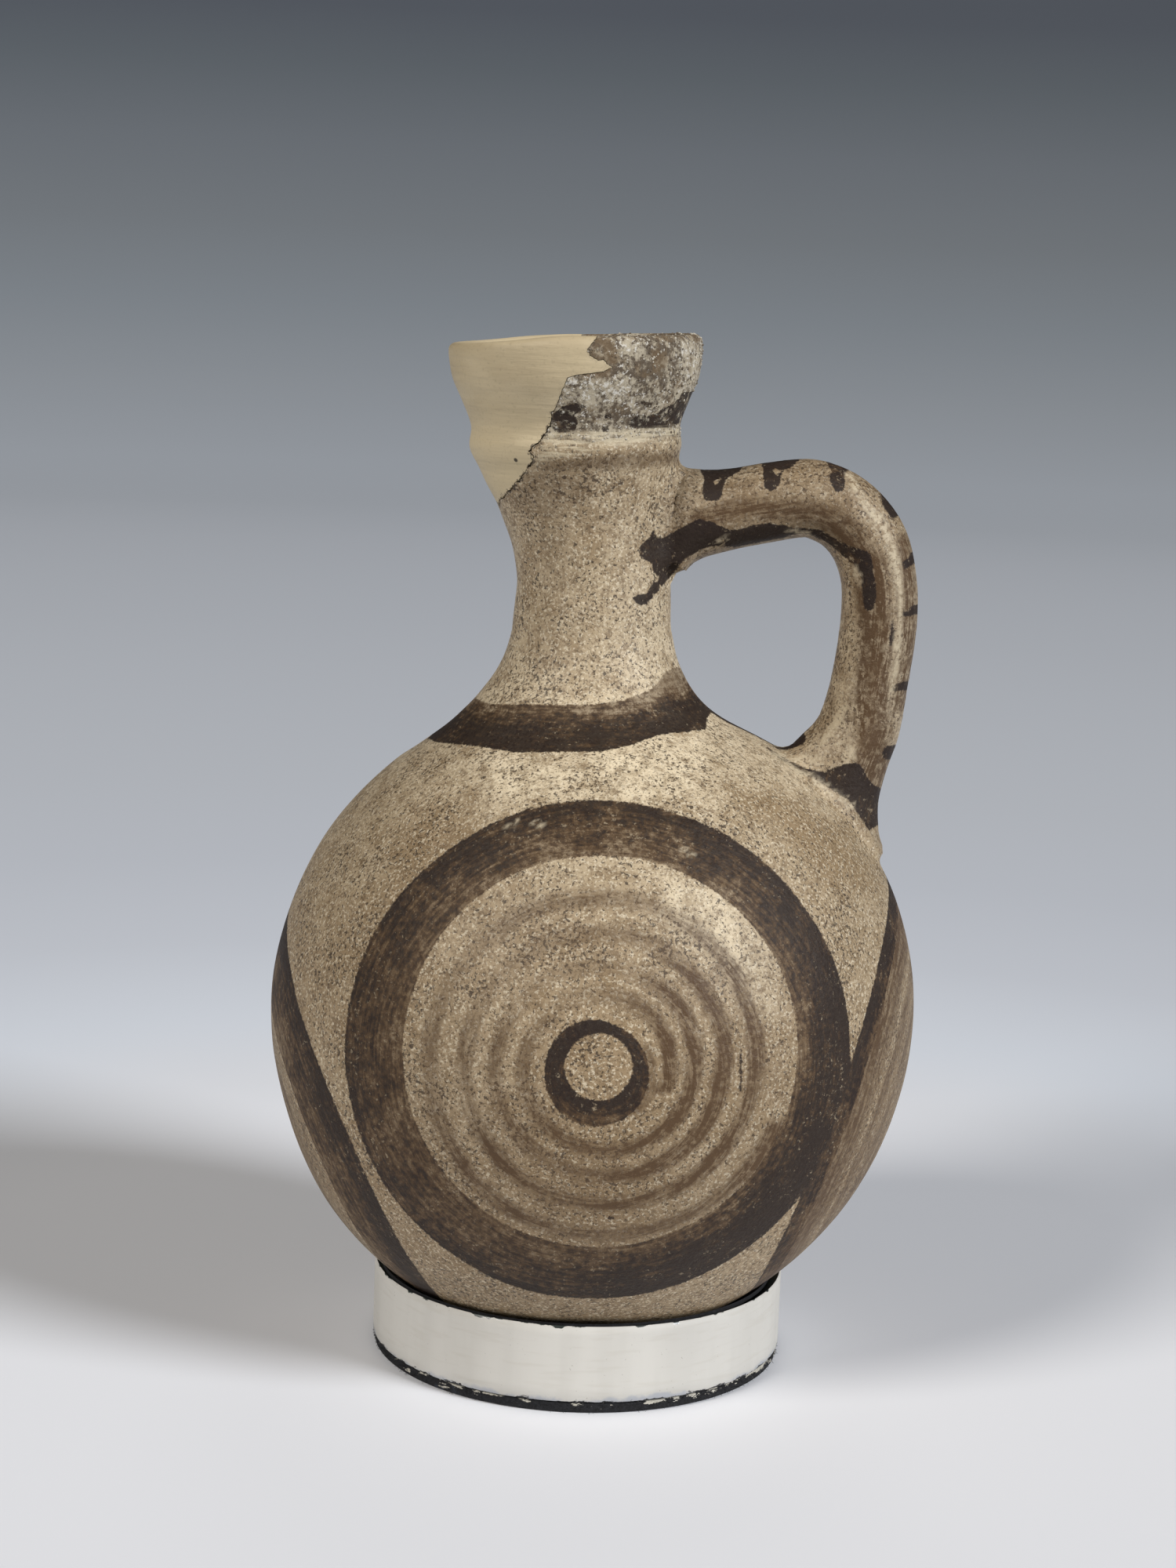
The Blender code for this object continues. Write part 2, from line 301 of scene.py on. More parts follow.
def mesh_points(thing: Object) -> np.ndarray:
    """The mesh's points, one row each.

    Args:
        thing: The object.

    Returns:
        Its points.
    """
    points = np.empty(len(thing.data.vertices) * 3)
    thing.data.vertices.foreach_get("co", points)
    return points.reshape(-1, 3)


def move_points(thing: Object, points: np.ndarray) -> None:
    """Puts the mesh's points in new places."""
    thing.data.vertices.foreach_set("co", points.ravel())
    thing.data.update()


def as_plain_mesh(thing: Object) -> None:
    """Turns an object's modifiers into its mesh and removes them.

    Args:
        thing: The object.
    """
    bpy.context.view_layer.update()
    evaluated = thing.evaluated_get(bpy.context.evaluated_depsgraph_get())
    mesh = bpy.data.meshes.new_from_object(evaluated)
    thing.modifiers.clear()
    thing.data = mesh


def cut(thing: Object, operation: str, tool: Object) -> None:
    """Combines a form with another one by an exact Boolean."""
    step = thing.modifiers.new(operation, "BOOLEAN")
    step.operation, step.solver, step.object = operation, "EXACT", tool
    as_plain_mesh(thing)


def copied(thing: Object, name: str) -> Object:
    """A second object with its own copy of the mesh."""
    return linked(name, thing.data.copy())


def discard(*things: Object) -> None:
    """Removes helper objects."""
    for thing in things:
        bpy.data.objects.remove(thing, do_unlink=True)


def set_values(thing: Object, name: str, values: np.ndarray) -> None:
    """Keeps one number, or one vector, for each point as a named attribute."""
    kind, key = ("FLOAT", "value") if values.ndim == 1 else ("FLOAT_VECTOR", "vector")
    layer = thing.data.attributes.new(name, kind, "POINT")
    layer.data.foreach_set(key, np.ascontiguousarray(values, dtype=np.float32).ravel())


# ---- the vessel's form


@dataclass(frozen=True)
class VesselForm:
    """The vessel's true form, upright, in millimetres, with heights from the middle of its equator."""

    equator: float = 47.35
    tilt: float = math.radians(2.2)
    body_radius: float = 43.1
    belly_depth: float = 44.8
    shoulder_rise: float = 42.4
    shoulder_join: float = 0.79
    rim: float = 89.4
    body_wall: float = 4.0
    neck_wall: float = 3.4
    lip_wall: float = 2.7
    lip_round: float = 1.1
    rim_sag: float = 1.0
    carination_drop: float = 5.4
    fillet: float = 2.2
    belly_steps: int = 90
    shoulder_steps: int = 60
    hollow_steps: int = 4
    neck_steps: int = 8
    lip_steps: int = 9
    handle_steps: int = 9
    # Height and radius, from the shoulder into the neck
    hollow: Pairs = (
        (36.0, 22.40), (38.5, 18.34), (41.0, 15.45), (43.5, 13.48), (46.0, 12.00), (48.5, 11.05), (51.0, 10.45),
    )
    # Drop below the rim and radius, up the neck to the mouth
    neck: Pairs = (
        (29.6, 10.12), (23.0, 11.00), (17.7, 12.65), (14.5, 13.90), (11.7, 13.72), (8.4, 14.90), (5.4, 16.10),
        (2.2, 16.50),
    )
    # Height and where the turning axis stands there along X
    axis_knots: Pairs = (
        (-36.2, -0.8), (-6.0, 0.0), (34.0, 0.4), (40.5, -0.8), (51.0, 0.0), (57.0, 0.2), (75.0, -2.2),
    )
    # X and height of the outer side, of the inner side, and half the width
    handle_sections: tuple[tuple[float, ...], ...] = (
        (8.6, 71.5, 9.2, 51.8, 4.2), (11.4, 72.8, 11.0, 55.7, 5.2), (13.9, 72.1, 13.2, 59.5, 5.6),
        (18.0, 72.1, 18.1, 61.2, 5.7), (23.6, 73.0, 24.2, 62.4, 5.7), (29.3, 73.3, 28.0, 62.9, 5.7),
        (34.6, 71.5, 30.6, 61.7, 5.7), (38.8, 68.0, 32.0, 59.7, 5.7), (41.7, 63.2, 32.8, 57.1, 5.7),
        (43.0, 56.5, 32.9, 54.0, 5.7), (42.9, 50.0, 32.55, 49.7, 5.7), (42.0, 43.7, 31.6, 44.1, 5.7),
        (40.9, 36.9, 30.5, 40.0, 5.8), (39.4, 32.3, 28.9, 37.6, 6.0), (38.3, 27.6, 27.0, 35.9, 6.3),
        (38.6, 22.6, 25.2, 34.1, 6.5), (39.5, 18.0, 24.6, 31.6, 6.3), (40.5, 13.6, 24.4, 28.0, 5.4),
    )
    # The rounded inner lip: how far out of the throat and above the rim, run out above it
    inner_lip: Pairs = (
        (0.0, -1.9), (0.15, -1.2), (0.5, -0.6), (1.0, -0.2), (1.6, 0.1), (3.0, 0.9), (3.4, 4.0),
    )

    def mouth(self) -> float:
        """Radius of the mouth."""
        return self.neck[-1][1]

    def axis_shift(self, height: np.ndarray) -> np.ndarray:
        """How far the hand-made turning axis wanders along X at a height.

        Args:
            height: Heights.

        Returns:
            The shift at each.
        """
        height = np.asarray(height, float)
        shift = np.full(height.shape, self.axis_knots[0][1])
        for (low, first), (high, second) in zip(self.axis_knots, self.axis_knots[1:]):
            shift = np.where(height > low, first + (second - first) * smooth_step((height - low) / (high - low)), shift)
        return shift

    def outline(self) -> np.ndarray:
        """Radius and height round the outside, from the bottom pole to the middle of the rim's plane.

        Returns:
            The outline's points.
        """
        angles = np.linspace(0.0, math.pi / 2, self.belly_steps)
        belly = np.stack([self.body_radius * np.sin(angles), -self.belly_depth * np.cos(angles)], 1)
        angles = np.linspace(0.0, math.asin(self.shoulder_join), self.shoulder_steps)[1:]
        shoulder = np.stack([self.body_radius * np.cos(angles), self.shoulder_rise * np.sin(angles)], 1)
        hollow = np.array([(radius, height) for height, radius in self.hollow])
        hollow = curve_through(np.vstack([shoulder[-1], hollow]), self.hollow_steps)[1:]
        knots = [hollow[-1], *((radius, self.rim - drop) for drop, radius in self.neck)]
        knots.append((self.mouth(), self.rim - self.lip_round))
        neck = curve_through(np.array(knots), self.neck_steps)[1:]
        angles = np.linspace(0.0, math.pi / 2, self.lip_steps)[1:]
        inwards, down = self.lip_round * (1 - np.cos(angles)), self.lip_round * (1 - np.sin(angles))
        lip = np.stack([self.mouth() - inwards, self.rim - down], 1)
        return np.vstack([belly, shoulder, hollow, neck, lip, [(0.0, self.rim)]])

    def wall(self, height: np.ndarray) -> np.ndarray:
        """Wall thickness at a height.

        Args:
            height: Heights.

        Returns:
            The thickness.
        """
        top = self.hollow[-1][0]
        low = self.body_wall + (self.neck_wall - self.body_wall) * smooth_step(height / top)
        return low + (self.lip_wall - self.neck_wall) * smooth_step((height - top) / (self.rim - top))

    def bore(self) -> np.ndarray:
        """Radius and height round the hollow inside, with a rounded inner lip, run out above the rim.

        Returns:
            The outline's points, from the bottom up.
        """
        lowest, lip_start, run_out = 0.02, 2.6, 4.0
        outer = self.outline()[: -self.lip_steps - 1]
        along = directions(outer)
        inner = outer - np.stack([along[:, 1], -along[:, 0]], 1) * self.wall(outer[:, 1])[:, None]
        inner = inner[(inner[:, 0] > 1.0) & (inner[:, 1] < self.rim - lip_start)][::2]
        throat = self.mouth() - self.lip_wall
        top = [(throat + out, self.rim + up) for out, up in self.inner_lip]
        return np.vstack([[(0.0, inner[0, 1] - lowest)], inner, top, [(0.0, self.rim + run_out)]])

    def sag(self, points: np.ndarray) -> np.ndarray:
        """How far the rim drops on its -X side, fading to nothing at the carination.

        Args:
            points: Places, one row each.

        Returns:
            The drop of each.
        """
        radius = np.hypot(points[:, 0] - self.axis_shift(points[:, 2]), points[:, 1])
        side = (points[:, 0] - self.axis_shift(points[:, 2])) / np.maximum(radius, 1.0)
        start = self.rim - self.carination_drop
        return self.rim_sag * smooth_step(-side) * smooth_step((points[:, 2] - start) / (self.rim - start))

    def turned_rings(self, outline: np.ndarray, sides: int) -> list[np.ndarray]:
        """Rings of the form turned from an outline about the leaning axis.

        Args:
            outline: Radius and height of each ring.
            sides: Points in a ring.

        Returns:
            The rings; one of no radius is a single point.
        """
        rings = []
        angles = 2 * math.pi * np.arange(sides) / sides
        for radius, height in outline:
            if radius < 1e-6:
                rings.append(np.array([(float(self.axis_shift(height)), 0.0, height)]))
                continue
            ring = np.stack([radius * np.cos(angles), radius * np.sin(angles), np.full(sides, height)], 1)
            ring[:, 0] += self.axis_shift(height)
            ring[:, 2] -= self.sag(ring)
            rings.append(ring)
        return rings

    def handle_stations(self) -> dict[str, np.ndarray]:
        """Middles, outward half thicknesses, half widths and lengths along the handle's curve.

        Returns:
            One array of each kind, by name.
        """
        sections = curve_through(np.array(self.handle_sections), self.handle_steps)
        outer, inner = sections[:, 0:2], sections[:, 2:4]
        middle, reach = (outer + inner) / 2, (outer - inner) / 2
        step = np.linalg.norm(np.diff(middle, axis=0), axis=1)
        return {
            "middle": middle,
            "thick": np.linalg.norm(reach, axis=1),
            "out": reach / np.linalg.norm(reach, axis=1)[:, None],
            "width": sections[:, 4],
            "length": np.concatenate([[0.0], np.cumsum(step)]),
            "along": directions(middle),
        }


class VesselSurface:
    """Signed distance to the vessel's form: the turned body and the handle, run together with a fillet."""

    cell: float = 0.25
    reach: float = 60.0
    lowest: float = -56.0
    highest: float = 100.0
    # Box round the handle: least X, least height and most to either side; and the distance given outside it
    handle_box: tuple[float, float, float] = (2.0, 8.0, 16.0)
    far: float = 30.0
    # The handle's section: an octagon whose slanting sides lie at this share, with corners rounded by a power
    slant: float = 1.47
    power: int = 10
    probe: float = 0.12

    def __init__(self, form: VesselForm) -> None:
        """Draws the turned form's distance on a fine grid of radius and height.

        Args:
            form: The vessel's form.
        """
        self.form = form
        self.stations = form.handle_stations()
        outline = form.outline()
        self.radii = np.arange(0.0, self.reach, self.cell)
        self.heights = np.arange(self.lowest, self.highest, self.cell)
        grid = np.stack(np.meshgrid(self.radii, self.heights, indexing="ij"), -1).reshape(-1, 2)
        gap = line_distance(grid, outline)
        closed = np.vstack([outline, [(0.0, outline[0, 1])]])
        gap = np.where(inside_outline(grid, closed), -gap, gap)
        self.grid = gap.reshape(len(self.radii), len(self.heights))

    def turned(self, points: np.ndarray) -> np.ndarray:
        """Distance from the turned form alone, below zero inside it.

        Args:
            points: Places, one row each.

        Returns:
            One distance for each.
        """
        radius = np.hypot(points[:, 0] - self.form.axis_shift(points[:, 2]), points[:, 1])
        a = np.clip(radius / self.cell, 0, len(self.radii) - 1.001)
        b = np.clip((points[:, 2] + self.form.sag(points) - self.heights[0]) / self.cell, 0, len(self.heights) - 1.001)
        i, j = a.astype(int), b.astype(int)
        u, v = a - i, b - j
        grid = self.grid
        low = grid[i, j] * (1 - u) + grid[i + 1, j] * u
        high = grid[i, j + 1] * (1 - u) + grid[i + 1, j + 1] * u
        return low * (1 - v) + high * v

    def handle_place(self, points: np.ndarray) -> dict[str, np.ndarray]:
        """Where points lie along and around the handle.

        Args:
            points: Places, one row each.

        Returns:
            Length along the handle, distance outwards and past its ends, and the section's half sizes.
        """
        st = self.stations
        flat = points[:, [0, 2]]
        gaps = ((flat[:, None, :] - st["middle"][None, :, :]) ** 2).sum(-1)
        near = gaps.argmin(1)
        offset = np.einsum("ij,ij->i", flat - st["middle"][near], st["along"][near])
        beside = np.clip(near + np.where(offset > 0, 1, -1), 0, len(st["length"]) - 1)
        span = np.abs(st["length"][beside] - st["length"][near])
        share = np.where(span > 1e-6, np.clip(np.abs(offset) / np.maximum(span, 1e-6), 0.0, 1.0), 0.0)

        def mixed(values: np.ndarray) -> np.ndarray:
            """Values between the two nearest stations."""
            weight = share if values.ndim == 1 else share[:, None]
            return values[near] * (1 - weight) + values[beside] * weight

        middle, out = mixed(st["middle"]), mixed(st["out"])
        past = np.where((near == 0) | (near == len(st["length"]) - 1), np.abs(offset) * (span < 1e-6), 0.0)
        return {
            "along": mixed(st["length"]),
            "out": np.einsum("ij,ij->i", flat - middle, out),
            "thick": mixed(st["thick"]),
            "width": mixed(st["width"]),
            "past": past,
        }

    def handle(self, points: np.ndarray) -> np.ndarray:
        """Distance from the handle alone, whose section is an octagon with soft corners.

        Args:
            points: Places, one row each.

        Returns:
            One distance for each.
        """
        gap = np.full(len(points), self.far)
        least, low, side = self.handle_box
        close = (points[:, 0] > least) & (points[:, 2] > low) & (np.abs(points[:, 1]) < side)
        near = points[close]
        if len(near):
            place = self.handle_place(near)
            p, q = place["out"] / place["thick"], near[:, 1] / place["width"]
            total = sum(np.abs(side) ** self.power for side in (p, q, (p + q) / self.slant, (p - q) / self.slant))
            section = (total ** (1 / self.power) - 1.0) * np.minimum(place["thick"], place["width"])
            gap[close] = np.maximum(section, place["past"])
        return gap

    def distance(self, points: np.ndarray) -> np.ndarray:
        """Distance from the whole form, below zero inside it.

        Args:
            points: Places, one row each.

        Returns:
            One distance for each.
        """
        first, second = self.turned(points), self.handle(points)
        soft = self.form.fillet
        share = np.clip(0.5 + 0.5 * (second - first) / soft, 0.0, 1.0)
        return second * (1 - share) + first * share - soft * share * (1 - share)

    def gradient(self, points: np.ndarray) -> np.ndarray:
        """Direction away from the form, one row for each point.

        Args:
            points: Places, one row each.

        Returns:
            The directions.
        """
        result = np.empty_like(points)
        for axis, move in enumerate(np.eye(3) * self.probe):
            result[:, axis] = (self.distance(points + move) - self.distance(points - move)) / (2 * self.probe)
        return result

    def onto(self, points: np.ndarray, rounds: int) -> np.ndarray:
        """Points moved onto the form's surface, by 1 mm at most in a round.

        Args:
            points: Places, one row each.
            rounds: How often they are moved.

        Returns:
            The moved places.
        """
        flattest = 0.2
        for _ in range(rounds):
            slope = self.gradient(points)
            size = np.maximum((slope**2).sum(1), flattest)
            points = points - np.clip(self.distance(points) / size, -1.0, 1.0)[:, None] * slope
        return points


@dataclass
class BrokenEdge:
    """The seam between the clay and its plaster fill, as degrees from the front towards +X and drop below the rim."""

    form: VesselForm
    inner_radius: float = 4.0
    outer_radius: float = 24.0
    step: float = 0.45
    jag: float = 0.10
    above_rim: float = 3.0
    lowest: float = 24.0
    mesh_size: float = 2.5
    mesh_margin: float = 0.8
    rim_steps: int = 40
    seen: Pairs = (
        (13.5, -3.0), (12.6, -1.2), (11.8, -0.3), (8.4, 0.7), (5.5, 1.7), (6.6, 2.4), (10.0, 3.0), (12.4, 2.9),
        (14.0, 3.4), (16.7, 3.9), (13.0, 4.4), (7.5, 4.6), (1.5, 4.8), (-3.2, 5.2), (-5.6, 6.8), (-8.4, 8.5),
        (-11.6, 9.6), (-12.4, 10.7), (-15.2, 11.8), (-17.3, 12.6), (-20.0, 13.4), (-25.2, 14.5), (-22.6, 15.2),
        (-24.0, 16.0), (-30.0, 17.2), (-36.6, 18.3), (-46.0, 19.6),
    )
    hidden: Pairs = (
        (-56.0, 20.6), (-66.0, 21.1), (-75.0, 22.0), (-90.0, 21.4), (-106.0, 21.7), (-118.0, 20.3), (-130.0, 19.8),
        (-141.0, 17.6), (-150.0, 16.5), (-157.0, 13.8), (-163.0, 12.0), (-168.0, 9.3), (-172.0, 7.5), (-177.0, 5.0),
        (-180.0, 3.0), (-183.0, 0.6), (-185.0, -3.0),
    )

    def flat(self) -> np.ndarray:
        """The seam unrolled: millimetres round the mouth and height, with a fine hand-broken jag.

        Returns:
            The seam's points, from the front round to the back.
        """
        smooth_drop, fade, least = 4.0, 6.0, 0.15
        corners = np.array(self.seen + self.hidden)
        line = np.stack([np.radians(corners[:, 0]) * self.form.mouth(), self.form.rim - corners[:, 1]], 1)
        points = []
        for start, end in zip(line[:-1], line[1:]):
            count = max(int(np.linalg.norm(end - start) / self.step), 1)
            points.extend(start + (end - start) * k / count for k in range(count))
        points = np.array([*points, line[-1]])
        deep = np.clip((self.form.rim - points[:, 1] - smooth_drop) / fade, least, 1.0)
        jag = np.random.default_rng(12).normal(0.0, self.jag, points.shape) * deep[:, None]
        jag[0] = jag[-1] = 0.0
        return points + jag

    def block(self, name: str, widen: np.ndarray | float) -> Object:
        """A wedge of the whole missing side, run through the wall.

        Args:
            name: The object's name.
            widen: How far the seam moves out of the missing side, in millimetres, one value or one for each point.

        Returns:
            The closed wedge.
        """
        line = self.flat()
        along = directions(line)
        line = line + np.stack([-along[:, 1], along[:, 0]], 1) * np.reshape(widen, (-1, 1))
        rim = self.form.rim
        line[0, 1] = line[-1, 1] = rim + self.above_rim
        around = np.linspace(line[-1, 0], line[0, 0], self.rim_steps)[1:-1]
        outline = np.vstack([line, [(u, rim + self.above_rim) for u in around]])
        across = np.arange(line[:, 0].min(), line[:, 0].max(), self.mesh_size)
        heights = np.arange(rim - self.lowest, rim + self.mesh_size, self.mesh_size)
        inner = np.array([(u, v) for u in across for v in heights])
        inner = inner[outline_depth(inner, outline) > self.mesh_margin]
        edges = [(i, (i + 1) % len(outline)) for i in range(len(outline))]
        corners = [Vector(corner) for corner in np.vstack([outline, inner])]
        flat, _, faces = delaunay_2d_cdt(corners, edges, [], 1, 1e-6)[:3]
        centre = float(self.form.axis_shift(rim))
        points = []
        for radius in (self.inner_radius, self.outer_radius):
            for place in flat:
                angle = place.x / self.form.mouth()
                points.append((centre + radius * math.sin(angle), -radius * math.cos(angle), place.y))
        count = len(flat)
        uses: Counter[tuple[int, int]] = Counter()
        solid = []
        for face in faces:
            solid += [tuple(face), tuple(i + count for i in reversed(face))]
            uses.update((min(pair), max(pair)) for pair in zip(face, (*face[1:], face[0])))
        solid += [(a, b, b + count, a + count) for (a, b), number in uses.items() if number == 1]
        return new_object(name, np.array(points), solid)

    def gap(self, points: np.ndarray) -> np.ndarray:
        """Distance of upright points from the seam, measured round the surface.

        Args:
            points: Places, one row each.

        Returns:
            One distance for each.
        """
        farthest, deepest, turn_back = 50.0, 30.0, math.radians(80.0)
        far = np.full(len(points), farthest)
        near = points[:, 2] > self.form.rim - deepest
        some = points[near]
        angle = np.arctan2(some[:, 0] - self.form.axis_shift(some[:, 2]), -some[:, 1])
        angle = np.where(angle > turn_back, angle - 2 * math.pi, angle)
        far[near] = line_distance(np.stack([angle * self.form.mouth(), some[:, 2]], 1), self.flat())
        return far


class Vessel:
    """Builds the juglet and its fill at full detail."""

    voxel: float = 0.84
    sides: int = 120
    handle_sides: int = 16
    bore_sides: int = 96
    fine_drop: float = 19.5

    def __init__(self, form: VesselForm) -> None:
        """Keeps the form and its surface."""
        self.form = form
        self.surface = VesselSurface(form)
        self.edge = BrokenEdge(form)

    def raw_form(self) -> Object:
        """The outside of the whole vessel as one even mesh, with the handle run into it.

        Returns:
            The form's object.
        """
        outline = self.form.outline()
        outline = np.vstack([outline[::3], outline[-1:]])
        body = lofted("vessel_form", self.form.turned_rings(outline, self.sides))
        st = self.surface.stations
        rings = []
        angles = 2 * math.pi * (np.arange(self.handle_sides) + 0.5) / self.handle_sides
        for k in range(0, len(st["length"]), 2):
            out = np.cos(angles) * st["thick"][k]
            middle = st["middle"][k] + out[:, None] * st["out"][k]
            rings.append(np.stack([middle[:, 0], np.sin(angles) * st["width"][k], middle[:, 1]], 1))
        handle = lofted("handle_form", rings)
        with opened(body) as bm:
            bm.from_mesh(handle.data)
        discard(handle)
        step = body.modifiers.new("even mesh", "REMESH")
        step.mode, step.voxel_size = "VOXEL", self.voxel
        as_plain_mesh(body)
        return body

    def refine_mouth(self, thing: Object) -> None:
        """Halves the mesh size round the mouth and ridge.

        Args:
            thing: The form's object.
        """
        low = self.form.rim - self.fine_drop
        with opened(thing) as bm:
            faces = [face for face in bm.faces if face.calc_center_median().z > low]
            edges = list({edge for face in faces for edge in face.edges})
            bmesh.ops.subdivide_edges(bm, edges=edges, cuts=1, use_grid_fill=True)

    def unevenness(self, points: np.ndarray) -> np.ndarray:
        """Small swells and hollows of the hand-made surface, in millimetres.

        Args:
            points: Places, one row each.

        Returns:
            How far each moves outwards.
        """
        neck_from, ridge_drop, across = 40.0, 15.0, np.array([0.25, 0.25, 1.0])
        swell = 0.14 * value_noise(points, 13.0, 3) + 0.05 * value_noise(points, 5.0, 4)
        neck = smooth_step((points[:, 2] - neck_from) / 10.0)
        neck *= smooth_step((self.form.rim - ridge_drop - points[:, 2]) / 3.0)
        return swell + neck * 0.10 * value_noise(points * across, 2.6, 5)

    def build(self) -> tuple[Object, Object]:
        """Builds the clay and the plaster.

        Returns:
            The juglet and the plaster fill, in upright millimetres.
        """
        whole = self.raw_form()
        self.refine_mouth(whole)
        points = self.surface.onto(mesh_points(whole), 3)
        slope = self.surface.gradient(points)
        slope /= np.maximum(np.linalg.norm(slope, axis=1), 1e-6)[:, None]
        move_points(whole, points + slope * self.unevenness(points)[:, None])
        hollow = lofted("hollow", self.form.turned_rings(self.form.bore(), self.bore_sides))
        cut(whole, "DIFFERENCE", hollow)
        plaster = copied(whole, "plaster_fill_dressed")
        # The joint is open by 0.03 mm on the plaster's side and by 0.05 to 0.27 mm, more below, on the clay's
        line = self.edge.flat()
        deep = smooth_step((self.form.rim - line[:, 1] - 7.0) / 6.0)
        rough = 0.05 + 0.22 * deep * np.random.default_rng(21).uniform(0.0, 1.0, len(line))
        missing, fill = self.edge.block("missing_side", rough), self.edge.block("fill_side", -0.03)
        cut(whole, "DIFFERENCE", missing)
        cut(plaster, "INTERSECT", fill)
        discard(hollow, missing, fill)
        whole.name = "juglet_dressed"
        return whole, plaster

    def settle(self, thing: Object) -> None:
        """Tilts a finished mesh in its ring and turns millimetres to metres."""
        lift = Matrix.Translation((0.0, 0.0, self.form.equator * MM))
        thing.data.transform(lift @ Matrix.Rotation(-self.form.tilt, 4, "Y") @ Matrix.Scale(MM, 4))


@dataclass(frozen=True)
class CameraView:
    """Where the photograph was taken from, in upright millimetres, for a picture of 1500 by 2000 pixels."""

    eye: tuple[float, float, float] = (-0.53, -382.0, 93.55)
    pitch: float = math.radians(9.43)
    pixels: float = 3700.0
    middle: tuple[float, float] = (750.0, 1000.0)
    lens: float = 66.6
    sensor: float = 36.0

    def project(self, points: np.ndarray) -> np.ndarray:
        """Pixel across and down at which each upright point is seen.

        Args:
            points: Places, one row each.

        Returns:
            The pixels, one row each.
        """
        away = points - np.array(self.eye)
        cosine, sine = math.cos(self.pitch), math.sin(self.pitch)
        depth = away[:, 1] * cosine - away[:, 2] * sine
        up = away[:, 1] * sine + away[:, 2] * cosine
        across, down = self.middle
        return np.stack([across + self.pixels * away[:, 0] / depth, down - self.pixels * up / depth], 1)

    def place(self, form: VesselForm) -> None:
        """Creates the camera, rolled with the vessel's tilt, and makes it the scene's.

        Args:
            form: The form that sets height and tilt.
        """
        data = bpy.data.cameras.new("view")
        data.lens, data.sensor_width = self.lens, self.sensor
        data.clip_start, data.clip_end = 0.01, 30.0
        eye = linked("view", data)
        lift = Matrix.Translation((0.0, 0.0, form.equator * MM))
        turn = Matrix.Rotation(math.pi / 2 - self.pitch, 4, "X")
        spot = Matrix.Translation(Vector(self.eye) * MM)
        eye.matrix_world = lift @ Matrix.Rotation(-form.tilt, 4, "Y") @ spot @ turn
        bpy.context.scene.camera = eye


# ---- paint


@dataclass(frozen=True)
class Circle:
    """A circle drawn on the body with a compass brush: where its middle points, and its radius in millimetres."""

    azimuth: float
    elevation: float
    radius: float

    def axis(self) -> np.ndarray:
        """Direction of the circle's middle from the body's middle."""
        turn, rise = math.radians(self.azimuth), math.radians(self.elevation)
        return np.array([math.sin(turn) * math.cos(rise), -math.cos(turn) * math.cos(rise), math.sin(rise)])

    def away(self, points: np.ndarray) -> np.ndarray:
        """Distance of points from the circle's axis, large on the far side of the body.

        Args:
            points: Places, one row each.

        Returns:
            One distance for each.
        """
        axis, far_side = self.axis(), 90.0
        along = points @ axis
        away = np.linalg.norm(points - along[:, None] * axis, axis=1)
        return np.where(along > 0.0, away, far_side - away)

    def around(self, points: np.ndarray) -> np.ndarray:
        """Degrees round the circle from its top, clockwise as seen from outside, from 0 to 360.

        Args:
            points: Places, one row each.

        Returns:
            The degrees.
        """
        axis = self.axis()
        up = np.array([0.0, 0.0, 1.0]) - axis * axis[2]
        up /= np.linalg.norm(up)
        side = np.cross(up, axis)
        return np.degrees(np.arctan2(points @ -side, points @ up)) % 360.0


@dataclass(frozen=True)
class Band:
    """One painted ring between two circles.

    Each row of tones holds the paint's density from the inner edge to the outer edge; the rows are spread evenly
    round the ring, clockwise from its top.
    """

    inner: Circle
    outer: Circle
    tones: tuple[tuple[float, ...], ...]

    def tone(self, share: np.ndarray, around: np.ndarray) -> np.ndarray:
        """Density of the paint at a share of the width and at degrees round the ring.

        Args:
            share: Share of the width, from inside.
            around: Degrees round the ring.

        Returns:
            The density.
        """
        table = np.array(self.tones)
        rows, columns = table.shape
        u = (around / 360.0 * rows - 0.5) % rows
        v = np.clip(share, 0.0, 1.0) * (columns - 1)
        i, j = u.astype(int) % rows, np.minimum(v.astype(int), columns - 2)
        a, b = u - np.floor(u), v - j
        k = (i + 1) % rows
        low = table[i, j] * (1 - a) + table[k, j] * a
        high = table[i, j + 1] * (1 - a) + table[k, j + 1] * a
        return low * (1 - b) + high * b


@dataclass(frozen=True)
class Spiral:
    """A thin brown stroke that winds out between the rings, in millimetres and degrees clockwise from the top.

    The strengths are spread evenly round it, clockwise from the top.
    """

    middle: Circle
    start: float
    turns: int
    pitch: float
    growth: float
    strengths: tuple[float, ...]
    half_width: float = 1.05
    sway: float = 0.5
    wander: float = 0.22
    patchy: float = 0.45

    def radius(self, turn: np.ndarray) -> np.ndarray:
        """Distance from the middle after a number of turns; the pitch grows and the brush sways once a turn."""
        reach = self.middle.radius + self.pitch * turn + self.growth * turn**2
        return reach + self.sway * np.sin(2 * math.pi * turn)

    def thickness(self, points: np.ndarray) -> np.ndarray:
        """How thick the stroke lies, from 0 to 1.

        Args:
            points: Places, one row each.

        Returns:
            One thickness for each.
        """
        around = self.middle.around(points)
        away = self.middle.away(points) + self.wander * value_noise(points, 7.0, 47)
        turn = ((around - self.start) % 360.0) / 360.0
        best = np.zeros(len(points))
        for whole in range(self.turns):
            best = np.maximum(best, smooth_step(1.45 - np.abs(away - self.radius(turn + whole)) / self.half_width))
        patchy = 1.0 + self.patchy * value_noise(points, 5.0, 48)
        steps = np.arange(len(self.strengths)) * 360.0 / len(self.strengths)
        return best * patchy * np.interp(around, steps, self.strengths, period=360.0)


